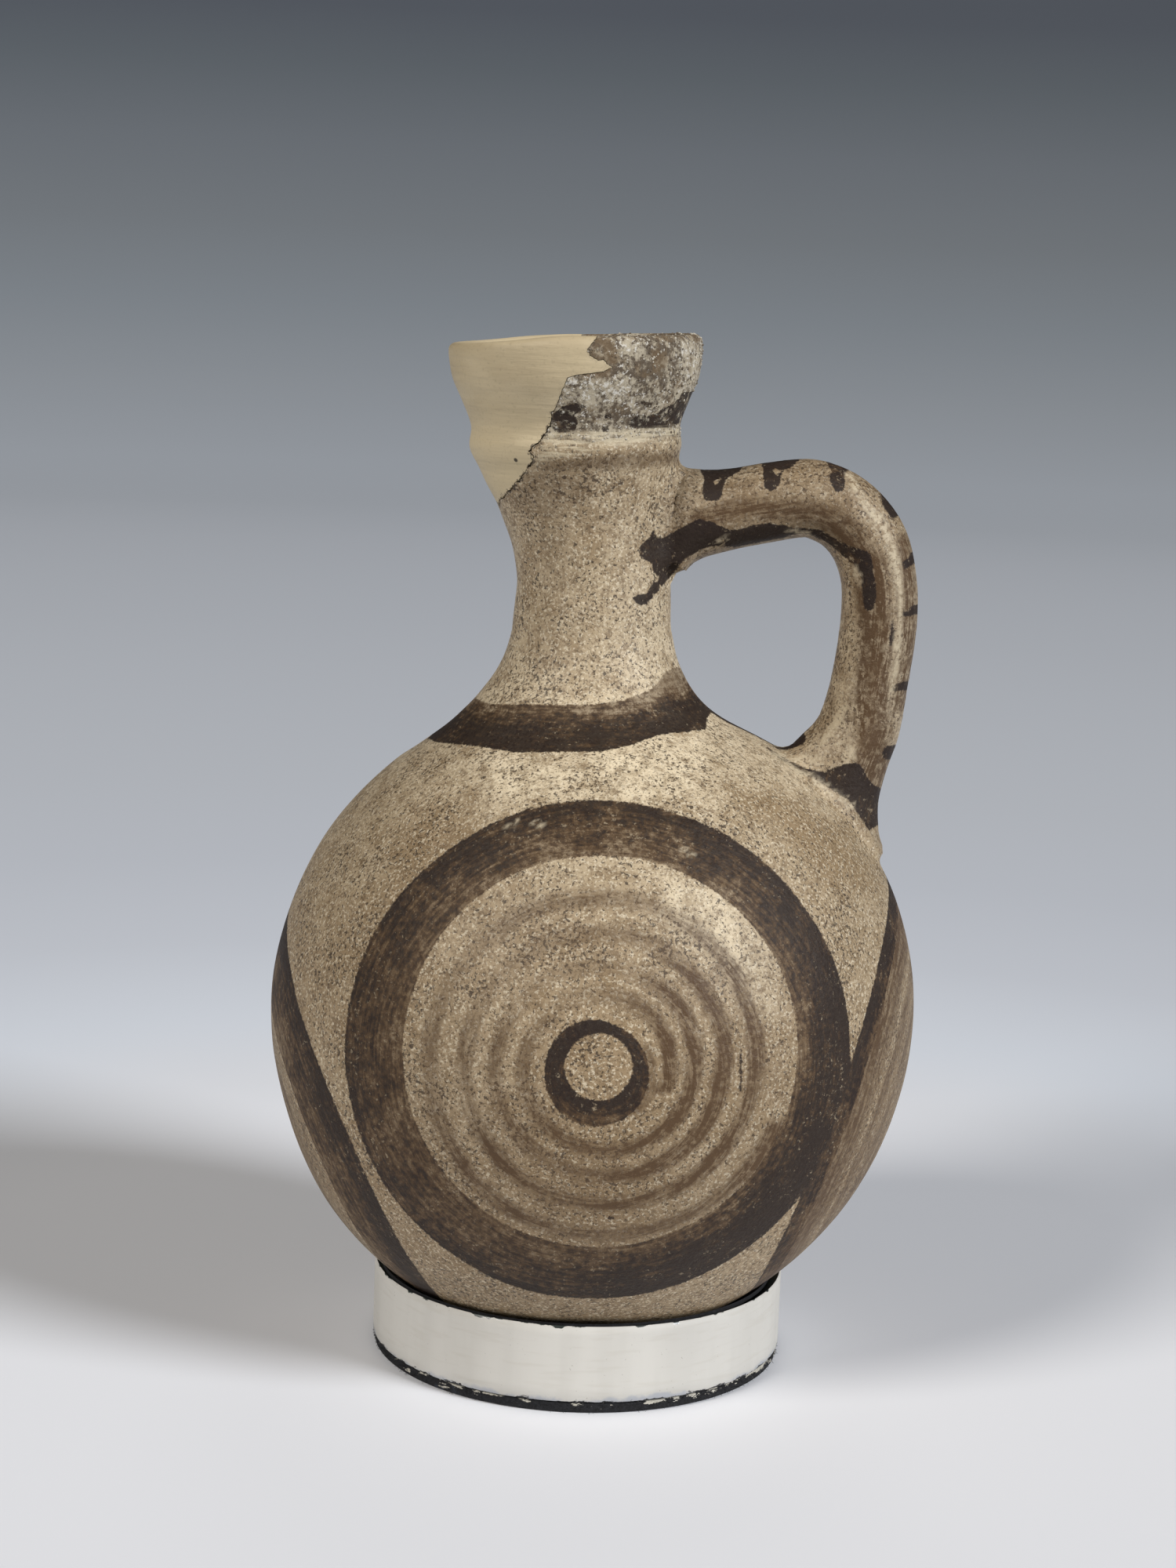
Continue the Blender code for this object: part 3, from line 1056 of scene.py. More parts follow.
@dataclass(frozen=True)
class RingSet:
    """Concentric rings on one side of the body."""

    bands: tuple[Band, ...]
    spirals: tuple[Spiral, ...] = ()
    hazes: tuple[Band, ...] = ()


LEFT_CIRCLE, RIGHT_CIRCLE = partial(Circle, -93.5, -26.5), partial(Circle, 90.0, -20.0)
FRONT_RINGS = RingSet(
    (
        Band(Circle(1.0, 3.5, 4.15), Circle(0.75, 2.2, 6.4), ((0.9, 0.9), (0.85, 0.45), (0.85, 0.5), (0.9, 0.6))),
        Band(Circle(1.0, 3.5, 4.08), Circle(0.2, 3.5, 5.85), ((0.95, 0.9), (0.8, 0.7), (0.9, 0.85), (0.95, 0.95))),
        Band(
            Circle(1.6, 4.2, 24.3), Circle(1.4, 2.0, 31.65),
            ((0.32, 0.58, 0.70), (0.34, 0.44, 0.70), (0.40, 0.92, 1.00), (0.34, 0.58, 0.78)),
        ),
    ),
    (Spiral(Circle(1.5, 2.8, 7.9), 250.0, 4, 2.85, 0.24, (0.50, 0.40, 0.72, 0.74, 0.72, 0.90, 1.15, 0.75)),),
    (
        Band(
            Circle(1.7, 2.6, 6.0), Circle(2.0, 3.6, 24.4),
            ((0.0, 0.05, 0.0), (0.12, 0.16, 0.14), (0.10, 0.17, 0.24), (0.0, 0.13, 0.05)),
        ),
    ),
)
LEFT_RINGS = RingSet(
    (
        Band(
            LEFT_CIRCLE(22.4), LEFT_CIRCLE(30.7),
            ((0.25, 0.45, 0.35, 0.85, 0.90), (0.20, 0.35, 0.40, 0.90, 0.80), (0.30, 0.40, 0.50, 0.70, 0.80)),
        ),
    ),
    (Spiral(LEFT_CIRCLE(9.0), 0.0, 3, 3.0, 0.0, (0.5,)),),
    (Band(LEFT_CIRCLE(5.0), LEFT_CIRCLE(22.0), ((0.2, 0.3), (0.25, 0.35))),),
)
RIGHT_RINGS = RingSet(
    (
        Band(
            RIGHT_CIRCLE(27.6), RIGHT_CIRCLE(30.3),
            ((0.5, 0.8, 0.85), (0.4, 0.6, 0.7), (0.25, 0.35, 0.6), (0.2, 0.5, 0.9), (0.4, 0.7, 0.90)),
        ),
    ),
    (
        Spiral(RIGHT_CIRCLE(8.0), 200.0, 3, 3.5, 0.0, (0.5,)),
        Spiral(RIGHT_CIRCLE(20.8), 0.0, 1, 0.6, 0.0, (0.5,)),
    ),
    (
        Band(
            RIGHT_CIRCLE(23.2), RIGHT_CIRCLE(29.0),
            ((0.6, 0.9, 1.0), (0.55, 0.85, 1.0), (0.6, 0.9, 1.0), (0.6, 0.95, 1.0), (0.65, 0.95, 1.0)),
        ),
        Band(RIGHT_CIRCLE(4.0), RIGHT_CIRCLE(23.0), ((0.2, 0.45), (0.25, 0.5))),
    ),
)
BACK_RINGS = RingSet(
    (
        Band(Circle(181.0, 3.0, 4.1), Circle(180.6, 3.0, 6.4), ((0.85, 0.8), (0.8, 0.6))),
        Band(
            Circle(181.0, 3.4, 24.4), Circle(181.5, 2.6, 31.0),
            ((0.3, 0.7, 0.85, 0.85), (0.2, 0.5, 0.7, 0.9), (0.4, 0.8, 0.9, 0.9), (0.25, 0.5, 0.8, 0.8)),
        ),
    ),
    (Spiral(Circle(181.0, 3.0, 8.4), 60.0, 4, 3.5, 0.0, (0.55, 0.6, 0.45, 0.5)),),
    (Band(Circle(181.0, 3.0, 6.0), Circle(181.0, 3.0, 24.4), ((0.05, 0.1), (0.2, 0.3), (0.2, 0.3), (0.05, 0.1))),),
)

# Upper and lower edge of the neck band: pixels across and pixels down there
BAND_TOP = ((600, 640, 750, 805, 830, 848, 880), (888, 899, 899, 889, 880, 857, 850))
BAND_FOOT = ((556, 640, 740, 785, 842, 901), (947, 958, 960, 956, 937, 931))
BAND_WORN_FROM = 815.0
NECK_BAND: Outline = (
    (548, 943), (556, 947), (600, 951), (660, 960), (765, 959), (805, 951), (842, 937), (901, 931), (902, 916),
    (915, 900), (880, 850), (858, 852), (848, 857), (846, 862), (830, 880), (790, 894), (750, 899), (625, 898),
    (580, 880), (520, 940),
)
HANDLE_LINE: Outline = (
    (814, 706), (816, 698), (822, 690), (831, 684), (832, 676), (835, 676), (838, 687), (850, 684), (880, 666),
    (892, 662), (905, 664), (930, 676), (945, 675), (960, 669), (980, 667), (1015, 673), (1045, 675), (1078, 694),
    (1108, 704), (1113, 714), (1113, 730), (1118, 745), (1118, 762), (1113, 780), (1103, 780), (1098, 738),
    (1093, 726), (1085, 717), (1052, 690), (1030, 681), (1015, 681), (1000, 686), (940, 698), (905, 697), (895, 701),
    (875, 712), (828, 768), (820, 773), (812, 770), (806, 764), (810, 758), (824, 757), (830, 748), (834, 737),
    (831, 718), (817, 712),
)
ROOT_PATCH: Outline = (
    (1108, 1060), (1124, 1050), (1124, 1005), (1112, 1000), (1098, 975), (1090, 972), (1075, 975), (1060, 980),
    (1052, 985), (1035, 982), (1020, 977), (975, 951), (985, 961), (1022, 988), (1042, 996), (1078, 1018),
    (1085, 1024),
)
LOOP_PATCH: Outline = (
    (985, 952), (992, 956), (1003, 957), (1022, 951), (1031, 942), (1024, 934), (1005, 936), (995, 943), (1000, 948),
)
HANDLE_STROKES: tuple[Outline, ...] = (
    ((893, 598), (898, 612), (895, 630), (898, 638), (915, 640), (920, 635), (923, 622), (925, 612), (935, 606),
     (945, 600), (950, 592), (948, 575), (890, 580)),
    ((971, 588), (973, 600), (974, 612), (975, 622), (982, 628), (988, 626), (995, 618), (996, 608), (1000, 600),
     (1008, 597), (1014, 592), (1020, 587), (1020, 570), (970, 573)),
    ((1054, 590), (1060, 602), (1058, 612), (1062, 622), (1066, 629), (1074, 628), (1078, 620), (1077, 610),
     (1080, 602), (1084, 599), (1090, 580), (1050, 575)),
    ((1119, 622), (1124, 632), (1124, 640), (1130, 652), (1138, 662), (1146, 658), (1165, 645), (1140, 605)),
    ((1150, 718), (1150, 726), (1158, 726), (1161, 722), (1168, 719), (1185, 717), (1185, 702), (1162, 704),
     (1158, 712)),
    ((1150, 776), (1150, 786), (1162, 786), (1168, 784), (1185, 784), (1185, 770), (1166, 771), (1158, 777)),
    ((1138, 874), (1137, 882), (1152, 881), (1175, 879), (1175, 867), (1150, 869)),
    ((1127, 955), (1124, 966), (1132, 970), (1155, 962), (1155, 948), (1132, 951)),
    ((1137, 785), (1143, 788), (1143, 805), (1140, 815), (1138, 825), (1133, 825), (1134, 812), (1137, 800)),
)
MOUTH_PATCHES: tuple[Outline, ...] = (
    ((709, 552), (722, 552), (735, 548), (738, 540), (733, 530), (742, 524), (748, 520), (742, 515), (728, 515),
     (718, 518), (710, 524), (700, 534), (702, 544)),
    ((797, 545), (815, 547), (840, 546), (855, 546), (863, 542), (874, 536), (880, 522), (886, 508), (890, 499),
     (871, 500), (866, 508), (858, 516), (848, 520), (838, 526), (828, 530), (815, 528), (808, 533), (800, 538)),
    ((766, 543), (777, 543), (778, 550), (767, 551)),
    ((770, 527), (780, 527), (780, 534), (772, 534)),
    ((816, 512), (833, 513), (831, 520), (820, 519)),
)
DARK_FLECKS: tuple[Outline, ...] = (
    ((940, 1322), (944, 1330), (947, 1360), (946, 1394), (942, 1394), (941, 1360), (938, 1335)),
    ((773, 1551), (784, 1550), (786, 1555), (776, 1556)), ((897, 1226), (903, 1224), (904, 1231), (899, 1233)),
    ((666, 1031), (679, 1030), (680, 1036), (670, 1038)),
)
# Brown strokes of thin paint: line in the photograph, half width in pixels and thickness
BROWN_STROKES: tuple[tuple[Outline, float, float], ...] = (
    (((890, 664), (925, 652), (960, 648), (1010, 652), (1050, 660)), 12.0, 0.95),
    (((1040, 656), (1080, 674), (1102, 704), (1112, 740)), 17.0, 0.90),
    (((1110, 724), (1115, 770), (1117, 830), (1113, 880), (1111, 930), (1115, 985)), 21.0, 1.0),
    (((1100, 850), (1090, 900), (1082, 935), (1096, 965)), 11.0, 0.55),
    (((1134, 712), (1143, 760), (1145, 830), (1138, 890), (1130, 950)), 8.0, 0.62),
    (((1152, 690), (1160, 760), (1158, 840), (1148, 900)), 10.0, 0.85),
    (((895, 628), (930, 622), (965, 612)), 4.0, 0.55), (((925, 636), (985, 632), (1040, 636), (1070, 646)), 7.0, 0.5),
    (((1074, 740), (1074, 800), (1072, 860), (1058, 915)), 7.0, 0.42),
)
# Soft clouds in the slip, most of them painted light: a painted highlight below the neck band, on the front ring's
# upper right and on the neck's right side, painted shade on both shoulders; the others are duller clouds in the slip.
# Each has its outline in the photograph, and how much paler or duller
SLIP_CLOUDS_AND_LIGHT: tuple[tuple[Outline, float], ...] = (
    (((620, 968), (700, 974), (800, 970), (860, 952), (900, 960), (880, 1000), (800, 1014), (700, 1012),
      (640, 1004)), 0.80),
    (((930, 1000), (1000, 1010), (1080, 1060), (1112, 1130), (1060, 1130), (1000, 1060), (940, 1030)), -0.45),
    (((850, 1120), (930, 1150), (980, 1220), (985, 1290), (940, 1260), (890, 1200), (840, 1160)), 0.55),
    (((500, 1060), (590, 1010), (620, 1060), (560, 1130), (500, 1180)), -0.35),
    (((770, 640), (830, 660), (845, 760), (840, 860), (790, 870), (780, 780), (765, 700)), 0.12),
    (((650, 700), (720, 720), (730, 860), (660, 870)), -0.10),
    (((724, 1318), (800, 1318), (800, 1394), (724, 1394)), -0.40),
)
# Limier and browner places in the crust: outline in the photograph, and how much limier
CRUST_CLOUDS: tuple[tuple[Outline, float], ...] = (
    (((752, 426), (782, 430), (790, 452), (776, 470), (748, 462)), -0.85),
    (((782, 434), (815, 436), (812, 452), (786, 452)), 0.7), (((800, 452), (850, 444), (866, 480), (812, 484)), -0.85),
    (((864, 430), (894, 430), (888, 500), (868, 498)), 0.4), (((716, 482), (762, 480), (756, 516), (716, 512)), 0.8),
    (((764, 484), (806, 480), (812, 506), (768, 512)), 0.7), (((806, 490), (868, 484), (862, 512), (812, 520)), -0.2),
    (((830, 424), (892, 424), (890, 434), (830, 434)), -0.85),
    (((738, 470), (776, 470), (776, 482), (738, 482)), -0.85),
    (((696, 534), (712, 548), (706, 562), (688, 556)), 0.7),
)
# Brown washes, and in the second and third painted shade under the neck's ridge: outline in the photograph and
# thickness
BROWN_WASHES_AND_RIDGE_SHADE: tuple[tuple[Outline, float], ...] = (
    (((850, 900), (880, 905), (905, 905), (890, 880), (866, 852), (846, 862), (836, 880)), 0.5),
    (((694, 590), (760, 581), (868, 574), (868, 594), (760, 600), (690, 602)), 0.60),
    (((668, 600), (760, 602), (760, 640), (700, 660), (650, 650)), 0.28),
    (((822, 1328), (834, 1340), (840, 1362), (838, 1386), (828, 1410), (812, 1428), (800, 1420), (816, 1396),
      (822, 1365), (816, 1340)), 0.75),
    (((630, 1180), (650, 1176), (656, 1204), (640, 1206)), 0.5),
    (((900, 1230), (925, 1226), (930, 1256), (908, 1260)), 0.4),
)
# Pale scuffs, and in the first three lines painted highlights along the handle's ridges: line in the photograph and
# half width in pixels
PALE_SCUFFS_AND_HIGHLIGHTS: tuple[tuple[Outline, float], ...] = (
    (((1082, 606), (1100, 636), (1112, 655), (1130, 680), (1140, 706), (1146, 742)), 4.0),
    (((1147, 740), (1149, 790), (1146, 830), (1138, 880)), 2.5),
    (((1122, 655), (1137, 690), (1146, 720)), 3.0),
    (((1077, 905), (1066, 924), (1050, 945)), 4.5), (((1083, 950), (1088, 966)), 3.0),
    (((1000, 972), (1050, 1003), (1086, 1028)), 3.0), (((986, 962), (1016, 968), (1044, 968)), 4.0),
    (((1090, 722), (1096, 740)), 3.0), (((1130, 822), (1132, 830)), 2.0), (((1142, 806), (1142, 830)), 1.5),
    (((646, 1056), (660, 1048)), 1.5), (((678, 1048), (694, 1054)), 1.0), (((872, 1082), (890, 1094)), 1.5),
    (((728, 1092), (730, 1104)), 1.2), (((1008, 676), (1030, 681)), 2.2),
    (((916, 690), (926, 688)), 2.2),
)
CREAM_BAND: Outline = (
    (690, 552), (740, 552), (868, 545), (868, 560), (800, 568), (700, 585), (684, 592), (690, 570),
)
BARE_SPOTS: tuple[Outline, ...] = (
    ((857, 707), (863, 709), (864, 716), (858, 715)), ((834, 735), (840, 735), (839, 742), (834, 741)),
    ((917, 691), (924, 688), (924, 693), (919, 695)), ((984, 599), (991, 598), (996, 602), (990, 605)),
    ((1070, 985), (1076, 986), (1080, 995), (1074, 992)), ((1110, 1030), (1113, 1031), (1112, 1038), (1109, 1036)),
    ((910, 615), (914, 612), (920, 609), (918, 614), (912, 618)),
)


class Brushwork:
    """Works out where the old paint lies: ink depth and density, thin wash, crust and the run of the brush.

    Marks traced from the photograph are drawn in its pixels. The unseen back repeats them as a mirror image.
    """

    # Millimetres on the surface to a pixel of the photograph
    near_scale: float = 1.0 / 9.6
    # Depth that stands for no paint, and how far beside a mark its brush run holds
    unpainted: float = -20.0
    beside: float = -3.0
    # Height at which the body ends, reach of the rings and depth of the crust below the rim
    body_top: float = 38.0
    ring_reach: float = 33.0
    crust_drop: float = 13.2
    # Heights, and how pale the slip is painted there: palest on the shoulder as a painted highlight of light from
    # above, darkest low on the belly as painted shade
    slip_light_by_height: tuple[tuple[float, ...], tuple[float, ...]] = (
        (-40, -10, 18, 28, 36, 43, 52, 66), (0.1, 0.1, 0.2, 0.4, 0.6, 0.72, 0.55, 0.3),
    )
    # The stripe seen through the loop: X and its front edge there, its back edge, its ends and its heights
    stripe_front: tuple[tuple[float, ...], tuple[float, ...]] = ((17.0, 24.0, 30.0), (-1.2, 2.5, 3.5))
    stripe_back: float = 6.5
    stripe_ends: tuple[float, float] = (15.0, 31.0)
    stripe_heights: tuple[float, float] = (24.0, 44.0)

    def __init__(self, vessel: Vessel, view: CameraView, points: np.ndarray) -> None:
        """Starts with bare clay.

        Args:
            vessel: The vessel whose surface is painted.
            view: The view in which the outlines are drawn.
            points: The mesh's points, upright, in millimetres.
        """
        self.vessel, self.points = vessel, points
        count = len(points)
        x, y, z = points.T
        self.seen = view.project(np.stack([x, -np.abs(y), z], 1))
        self.ink, self.tone, self.brush = np.full(count, self.unpainted), np.full(count, 0.8), points.copy()
        self.wash_and_shade, self.pale, self.cloud_and_light = np.zeros(count), np.zeros(count), np.zeros(count)
        handle = vessel.surface.handle_place(points)
        self.off_handle = vessel.surface.handle(points)
        self.body = (z < self.body_top) & (self.off_handle > 1.2)
        # Each run has its own third coordinate, so that no two share a streak
        self.runs = {
            Run.ROUND_NECK: np.stack([z, np.arctan2(x, -y) * 20.0, np.full(count, 66.0)], 1),
            Run.ALONG_HANDLE: np.stack([y + handle["out"], handle["along"], np.full(count, 88.0)], 1),
        }

    def lay(self, depth: np.ndarray, tone: np.ndarray | float, brush: np.ndarray) -> None:
        """Adds one painted mark where it is the nearest one.

        Args:
            depth: Depth inside the mark.
            tone: Its density.
            brush: Coordinates along its brush strokes.
        """
        over = depth > self.ink
        self.ink = np.where(over, depth, self.ink)
        self.tone = np.where(over, tone, self.tone)
        self.brush = np.where((over & (depth > self.beside))[:, None], brush, self.brush)

    def depth_in(self, corners: Outline) -> np.ndarray:
        """Distance inside an outline of the photograph, in millimetres on the surface."""
        return outline_depth(self.seen, np.array(corners, float)) * self.near_scale

    def band(self, band: Band, seed: int, wander: float) -> tuple[np.ndarray, np.ndarray]:
        """Depth inside one ring, and its density there.

        Args:
            band: The ring.
            seed: Number that fixes its small wander.
            wander: How far its edges wander, in millimetres.

        Returns:
            The depth in millimetres and the density, one value each for each point.
        """
        drift = wander * value_noise(self.points, 9.0, seed)
        from_inner = band.inner.away(self.points) - band.inner.radius + drift
        from_outer = band.outer.radius - band.outer.away(self.points) + drift
        share = from_inner / np.maximum(from_inner + from_outer, 0.1)
        tone = band.tone(share, band.outer.around(self.points))
        return np.where(self.body, np.minimum(from_inner, from_outer), self.unpainted), tone

    def rings(self, rings: RingSet, patch: int) -> None:
        """Paints one side's concentric rings, washes and hazes.

        Args:
            rings: The rings.
            patch: Number that fixes their wander.
        """
        outer = rings.bands[-1].outer
        away, around = outer.away(self.points), np.radians(outer.around(self.points))
        brush = np.stack([away, around * np.clip(away, 3.0, 60.0), np.full(len(away), patch * 11.0)], 1)
        mottle = 0.10 * value_noise(self.points, 5.0, patch + 60)
        for number, band in enumerate(rings.bands):
            depth, tone = self.band(band, patch * 7 + number, 0.12)
            self.lay(depth, tone + mottle, brush)
        near = (away < self.ring_reach) & self.body
        self.brush = np.where((near & (self.ink < self.beside))[:, None], brush, self.brush)
        for spiral in rings.spirals:
            self.wash_and_shade = np.maximum(self.wash_and_shade, np.where(near, spiral.thickness(self.points), 0.0))
        for number, band in enumerate(rings.hazes):
            depth, tone = self.band(band, patch * 7 + 4 + number, 0.3)
            haze = smooth_step(depth / 1.2 + 0.3) * (tone + 1.2 * mottle)
            self.wash_and_shade = self.wash_and_shade + np.clip(haze, 0.0, 1.0) * (1.0 - self.wash_and_shade)

    def mark(self, corners: Outline, tone: np.ndarray | float, run: Run | None = None) -> None:
        """Paints one mark given by its outline in the photograph, on the front and alike on the back."""
        self.lay(self.depth_in(corners), tone, self.runs[run] if run else self.brush)

    def neck_tone(self) -> np.ndarray:
        """Density of the neck band, which is thin at its upper edge and most of all at the right.

        Returns:
            One density for each point.
        """
        across, down = self.seen.T
        upper, lower = np.interp(across, *BAND_TOP), np.interp(across, *BAND_FOOT)
        share = np.clip((down - upper) / np.maximum(lower - upper, 1.0), 0.0, 1.0)
        weak = 0.35 * smooth_step((across - BAND_WORN_FROM) / 25.0) * (1.0 - smooth_step(share * 2.2 - 0.4))
        return 0.26 + 0.50 * smooth_step(share * 1.7) - weak

    def stripe(self) -> np.ndarray:
        """Depth inside the dark stripe that shows through the loop, in millimetres.

        Returns:
            One depth for each point.
        """
        x, y, z = self.points.T
        (first, last), (low, high) = self.stripe_ends, self.stripe_heights
        depth = np.minimum.reduce([y - np.interp(x, *self.stripe_front), self.stripe_back - y, x - first, last - x])
        return np.where((z > low) & (z < high), depth, self.unpainted)

    def clouds(self, places: tuple[tuple[Outline, float], ...], soft: float) -> np.ndarray:
        """Sum of clouds, each an outline and a change, with edges that fade over a width to either side."""
        return sum(change * smooth_step((self.depth_in(corners) + soft) / (2 * soft)) for corners, change in places)

    def paint(self) -> None:
        """Lays every mark, then the washes and the wear."""
        for patch, rings in enumerate((LEFT_RINGS, RIGHT_RINGS, BACK_RINGS, FRONT_RINGS), 1):
            self.rings(rings, patch)
        self.mark(NECK_BAND, self.neck_tone(), Run.ROUND_NECK)
        handle_tone = 0.92 + 0.1 * value_noise(self.points, 4.0, 91)
        for corners in (HANDLE_LINE, ROOT_PATCH, LOOP_PATCH, *HANDLE_STROKES):
            self.mark(corners, handle_tone, Run.ALONG_HANDLE)
        self.lay(self.stripe(), 0.95, self.runs[Run.ROUND_NECK])
        for corners in MOUTH_PATCHES:
            self.mark(corners, 0.88, Run.ROUND_NECK)
        for corners in DARK_FLECKS:
            self.mark(corners, 0.8)
        for corners in BARE_SPOTS:
            self.ink = np.minimum(self.ink, -self.depth_in(corners))
        self.wear()

    def wear(self) -> None:
        """Lays the brown washes with the painted shade under the neck's ridge, the slip's clouds with their painted
        light, the pale scuffs and the painted highlights on the handle's ridges, and keeps the hollow clean.
        """
        for corners, strength in BROWN_WASHES_AND_RIDGE_SHADE:
            self.wash_and_shade = np.maximum(self.wash_and_shade, strength * smooth_step((self.depth_in(corners) + 0.5) / 1.3))
        for line, half, strength in BROWN_STROKES:
            gap = line_distance(self.seen, np.array(line, float))
            self.wash_and_shade = np.maximum(self.wash_and_shade, strength * smooth_step(1.5 - 0.9 * gap / half))
        for line, half in PALE_SCUFFS_AND_HIGHLIGHTS:
            gap = line_distance(self.seen, np.array(line, float))
            self.pale = np.maximum(self.pale, smooth_step(1.6 - gap / half))
        on_handle = smooth_step(0.8 - self.off_handle)
        self.wash_and_shade = np.maximum(self.wash_and_shade, on_handle * (0.36 + 0.15 * value_noise(self.points, 8.0, 93)))
        self.cloud_and_light = self.clouds(SLIP_CLOUDS_AND_LIGHT, 2.5)
        inside = (self.vessel.surface.turned(self.points) < -1.6) & (self.off_handle > -4.0)
        self.wash_and_shade, self.pale = (np.where(inside, 0.0, values) for values in (self.wash_and_shade, self.pale))
        self.ink = np.where(inside, self.unpainted, self.ink)

    def keep(self, thing: Object) -> None:
        """Stores the marks on the mesh's points.

        Args:
            thing: The object whose points they are.
        """
        points = self.points
        drop = self.vessel.form.rim - points[:, 2]
        edge = self.crust_drop + 0.6 * value_noise(points, 4.0, 71)
        # Slip paleness: painted highlight and shade by height, the slip's clouds with their painted light, and random
        # unevenness
        slip_pale_and_lit = np.interp(points[:, 2], *self.slip_light_by_height) + self.cloud_and_light + 0.15 * value_noise(points, 16.0, 77)
        marks = {
            "ink": self.ink, "tone": np.clip(self.tone, 0.0, 1.0), "wash_and_shade": np.clip(self.wash_and_shade, 0.0, 1.0),
            "pale": self.pale, "slip_pale_and_lit": np.clip(slip_pale_and_lit, 0.0, 1.0), "crust": smooth_step((edge - drop) / 0.8),
            "lime": self.clouds(CRUST_CLOUDS, 0.8), "cream": smooth_step(self.depth_in(CREAM_BAND) + 0.5),
            "seam": np.clip(self.vessel.edge.gap(points), 0.0, 20.0), "drop": drop, "brush": self.brush,
        }
        for name, values in marks.items():
            set_values(thing, name, values)


# ---- materials

MATH, RANGE, MIX, NOISE, CELLS = (
    "ShaderNodeMath", "ShaderNodeMapRange", "ShaderNodeMix", "ShaderNodeTexNoise", "ShaderNodeTexVoronoi",
)
VECTOR, ATTRIBUTE = "ShaderNodeVectorMath", "ShaderNodeAttribute"
# Settings of those nodes
SOFT, COLOURS = {"interpolation_type": "SMOOTHSTEP"}, {"data_type": "RGBA"}
PLUS, MINUS, TIMES, TIMES_PLUS = ({"operation": name} for name in ("ADD", "SUBTRACT", "MULTIPLY", "MULTIPLY_ADD"))
# Numbers of the sockets that share a name: a range's two ends before and after, a mix's share, colours and result
FROM, TO, START, END = 1, 2, 3, 4
SHARE, UNDER, OVER, MIXED = 0, 6, 7, 2
# How a pattern is stretched: not at all, wiped round the upright axis, up and down, or smeared sideways
EVEN, ROUND, UPRIGHT, SMEARED = (1.0, 1.0, 1.0), (0.1, 0.1, 1.0), (1.0, 1.0, 0.15), (0.35, 0.35, 1.0)


def linear(code: str) -> tuple[float, float, float, float]:
    """Turns an sRGB hex colour into Blender's linear one."""
    parts = [int(code[i : i + 2], 16) / 255.0 for i in (1, 3, 5)]
    turned = [part / 12.92 if part <= 0.04045 else ((part + 0.055) / 1.055) ** 2.4 for part in parts]
    return (*turned, 1.0)


def scale_of(size: float) -> float:
    """Scale of a pattern whose grains are a size in millimetres, on coordinates in metres."""
    return 1.0 / (size * MM)


def fill(tree: NodeTree, node: Node, inputs: dict[int | str, object]) -> None:
    """Links or sets a node's inputs.

    Args:
        tree: The node's tree.
        node: The node.
        inputs: Value of each named or numbered input: another node's output, a hex colour or a fixed value.
    """
    for key, value in inputs.items():
        if isinstance(value, NodeSocket):
            tree.links.new(value, node.inputs[key])
        else:
            node.inputs[key].default_value = linear(value) if str(value).startswith("#") else value


def add_node(
    tree: NodeTree, kind: str, inputs: dict[int | str, object] | None = None, out: int | str = 0, **settings
) -> NodeSocket | None:
    """Adds a node with its settings, links and fixed inputs.

    Args:
        tree: The tree that gets the node.
        kind: The node's type.
        inputs: Its inputs, as for fill.
        out: The output that is wanted.
        settings: The node's own settings.

    Returns:
        The wanted output, or nothing where the node has none.
    """
    made = tree.nodes.new(kind)
    for name, value in settings.items():
        setattr(made, name, value)
    fill(tree, made, inputs or {})
    return made.outputs[out] if made.outputs else None


@dataclass(frozen=True)
class Flecks:
    """Flecks, grains, streaks or clouds of one colour.

    They are noise of a real size in millimetres, cut softly between two levels and laid at a strength.
    """

    size: float
    low: float
    high: float
    strength: float
    colour: str
    detail: float = 4.0
    rough: float = 0.5
    stretch: tuple[float, float, float] = EVEN
    twist: float = 0.0


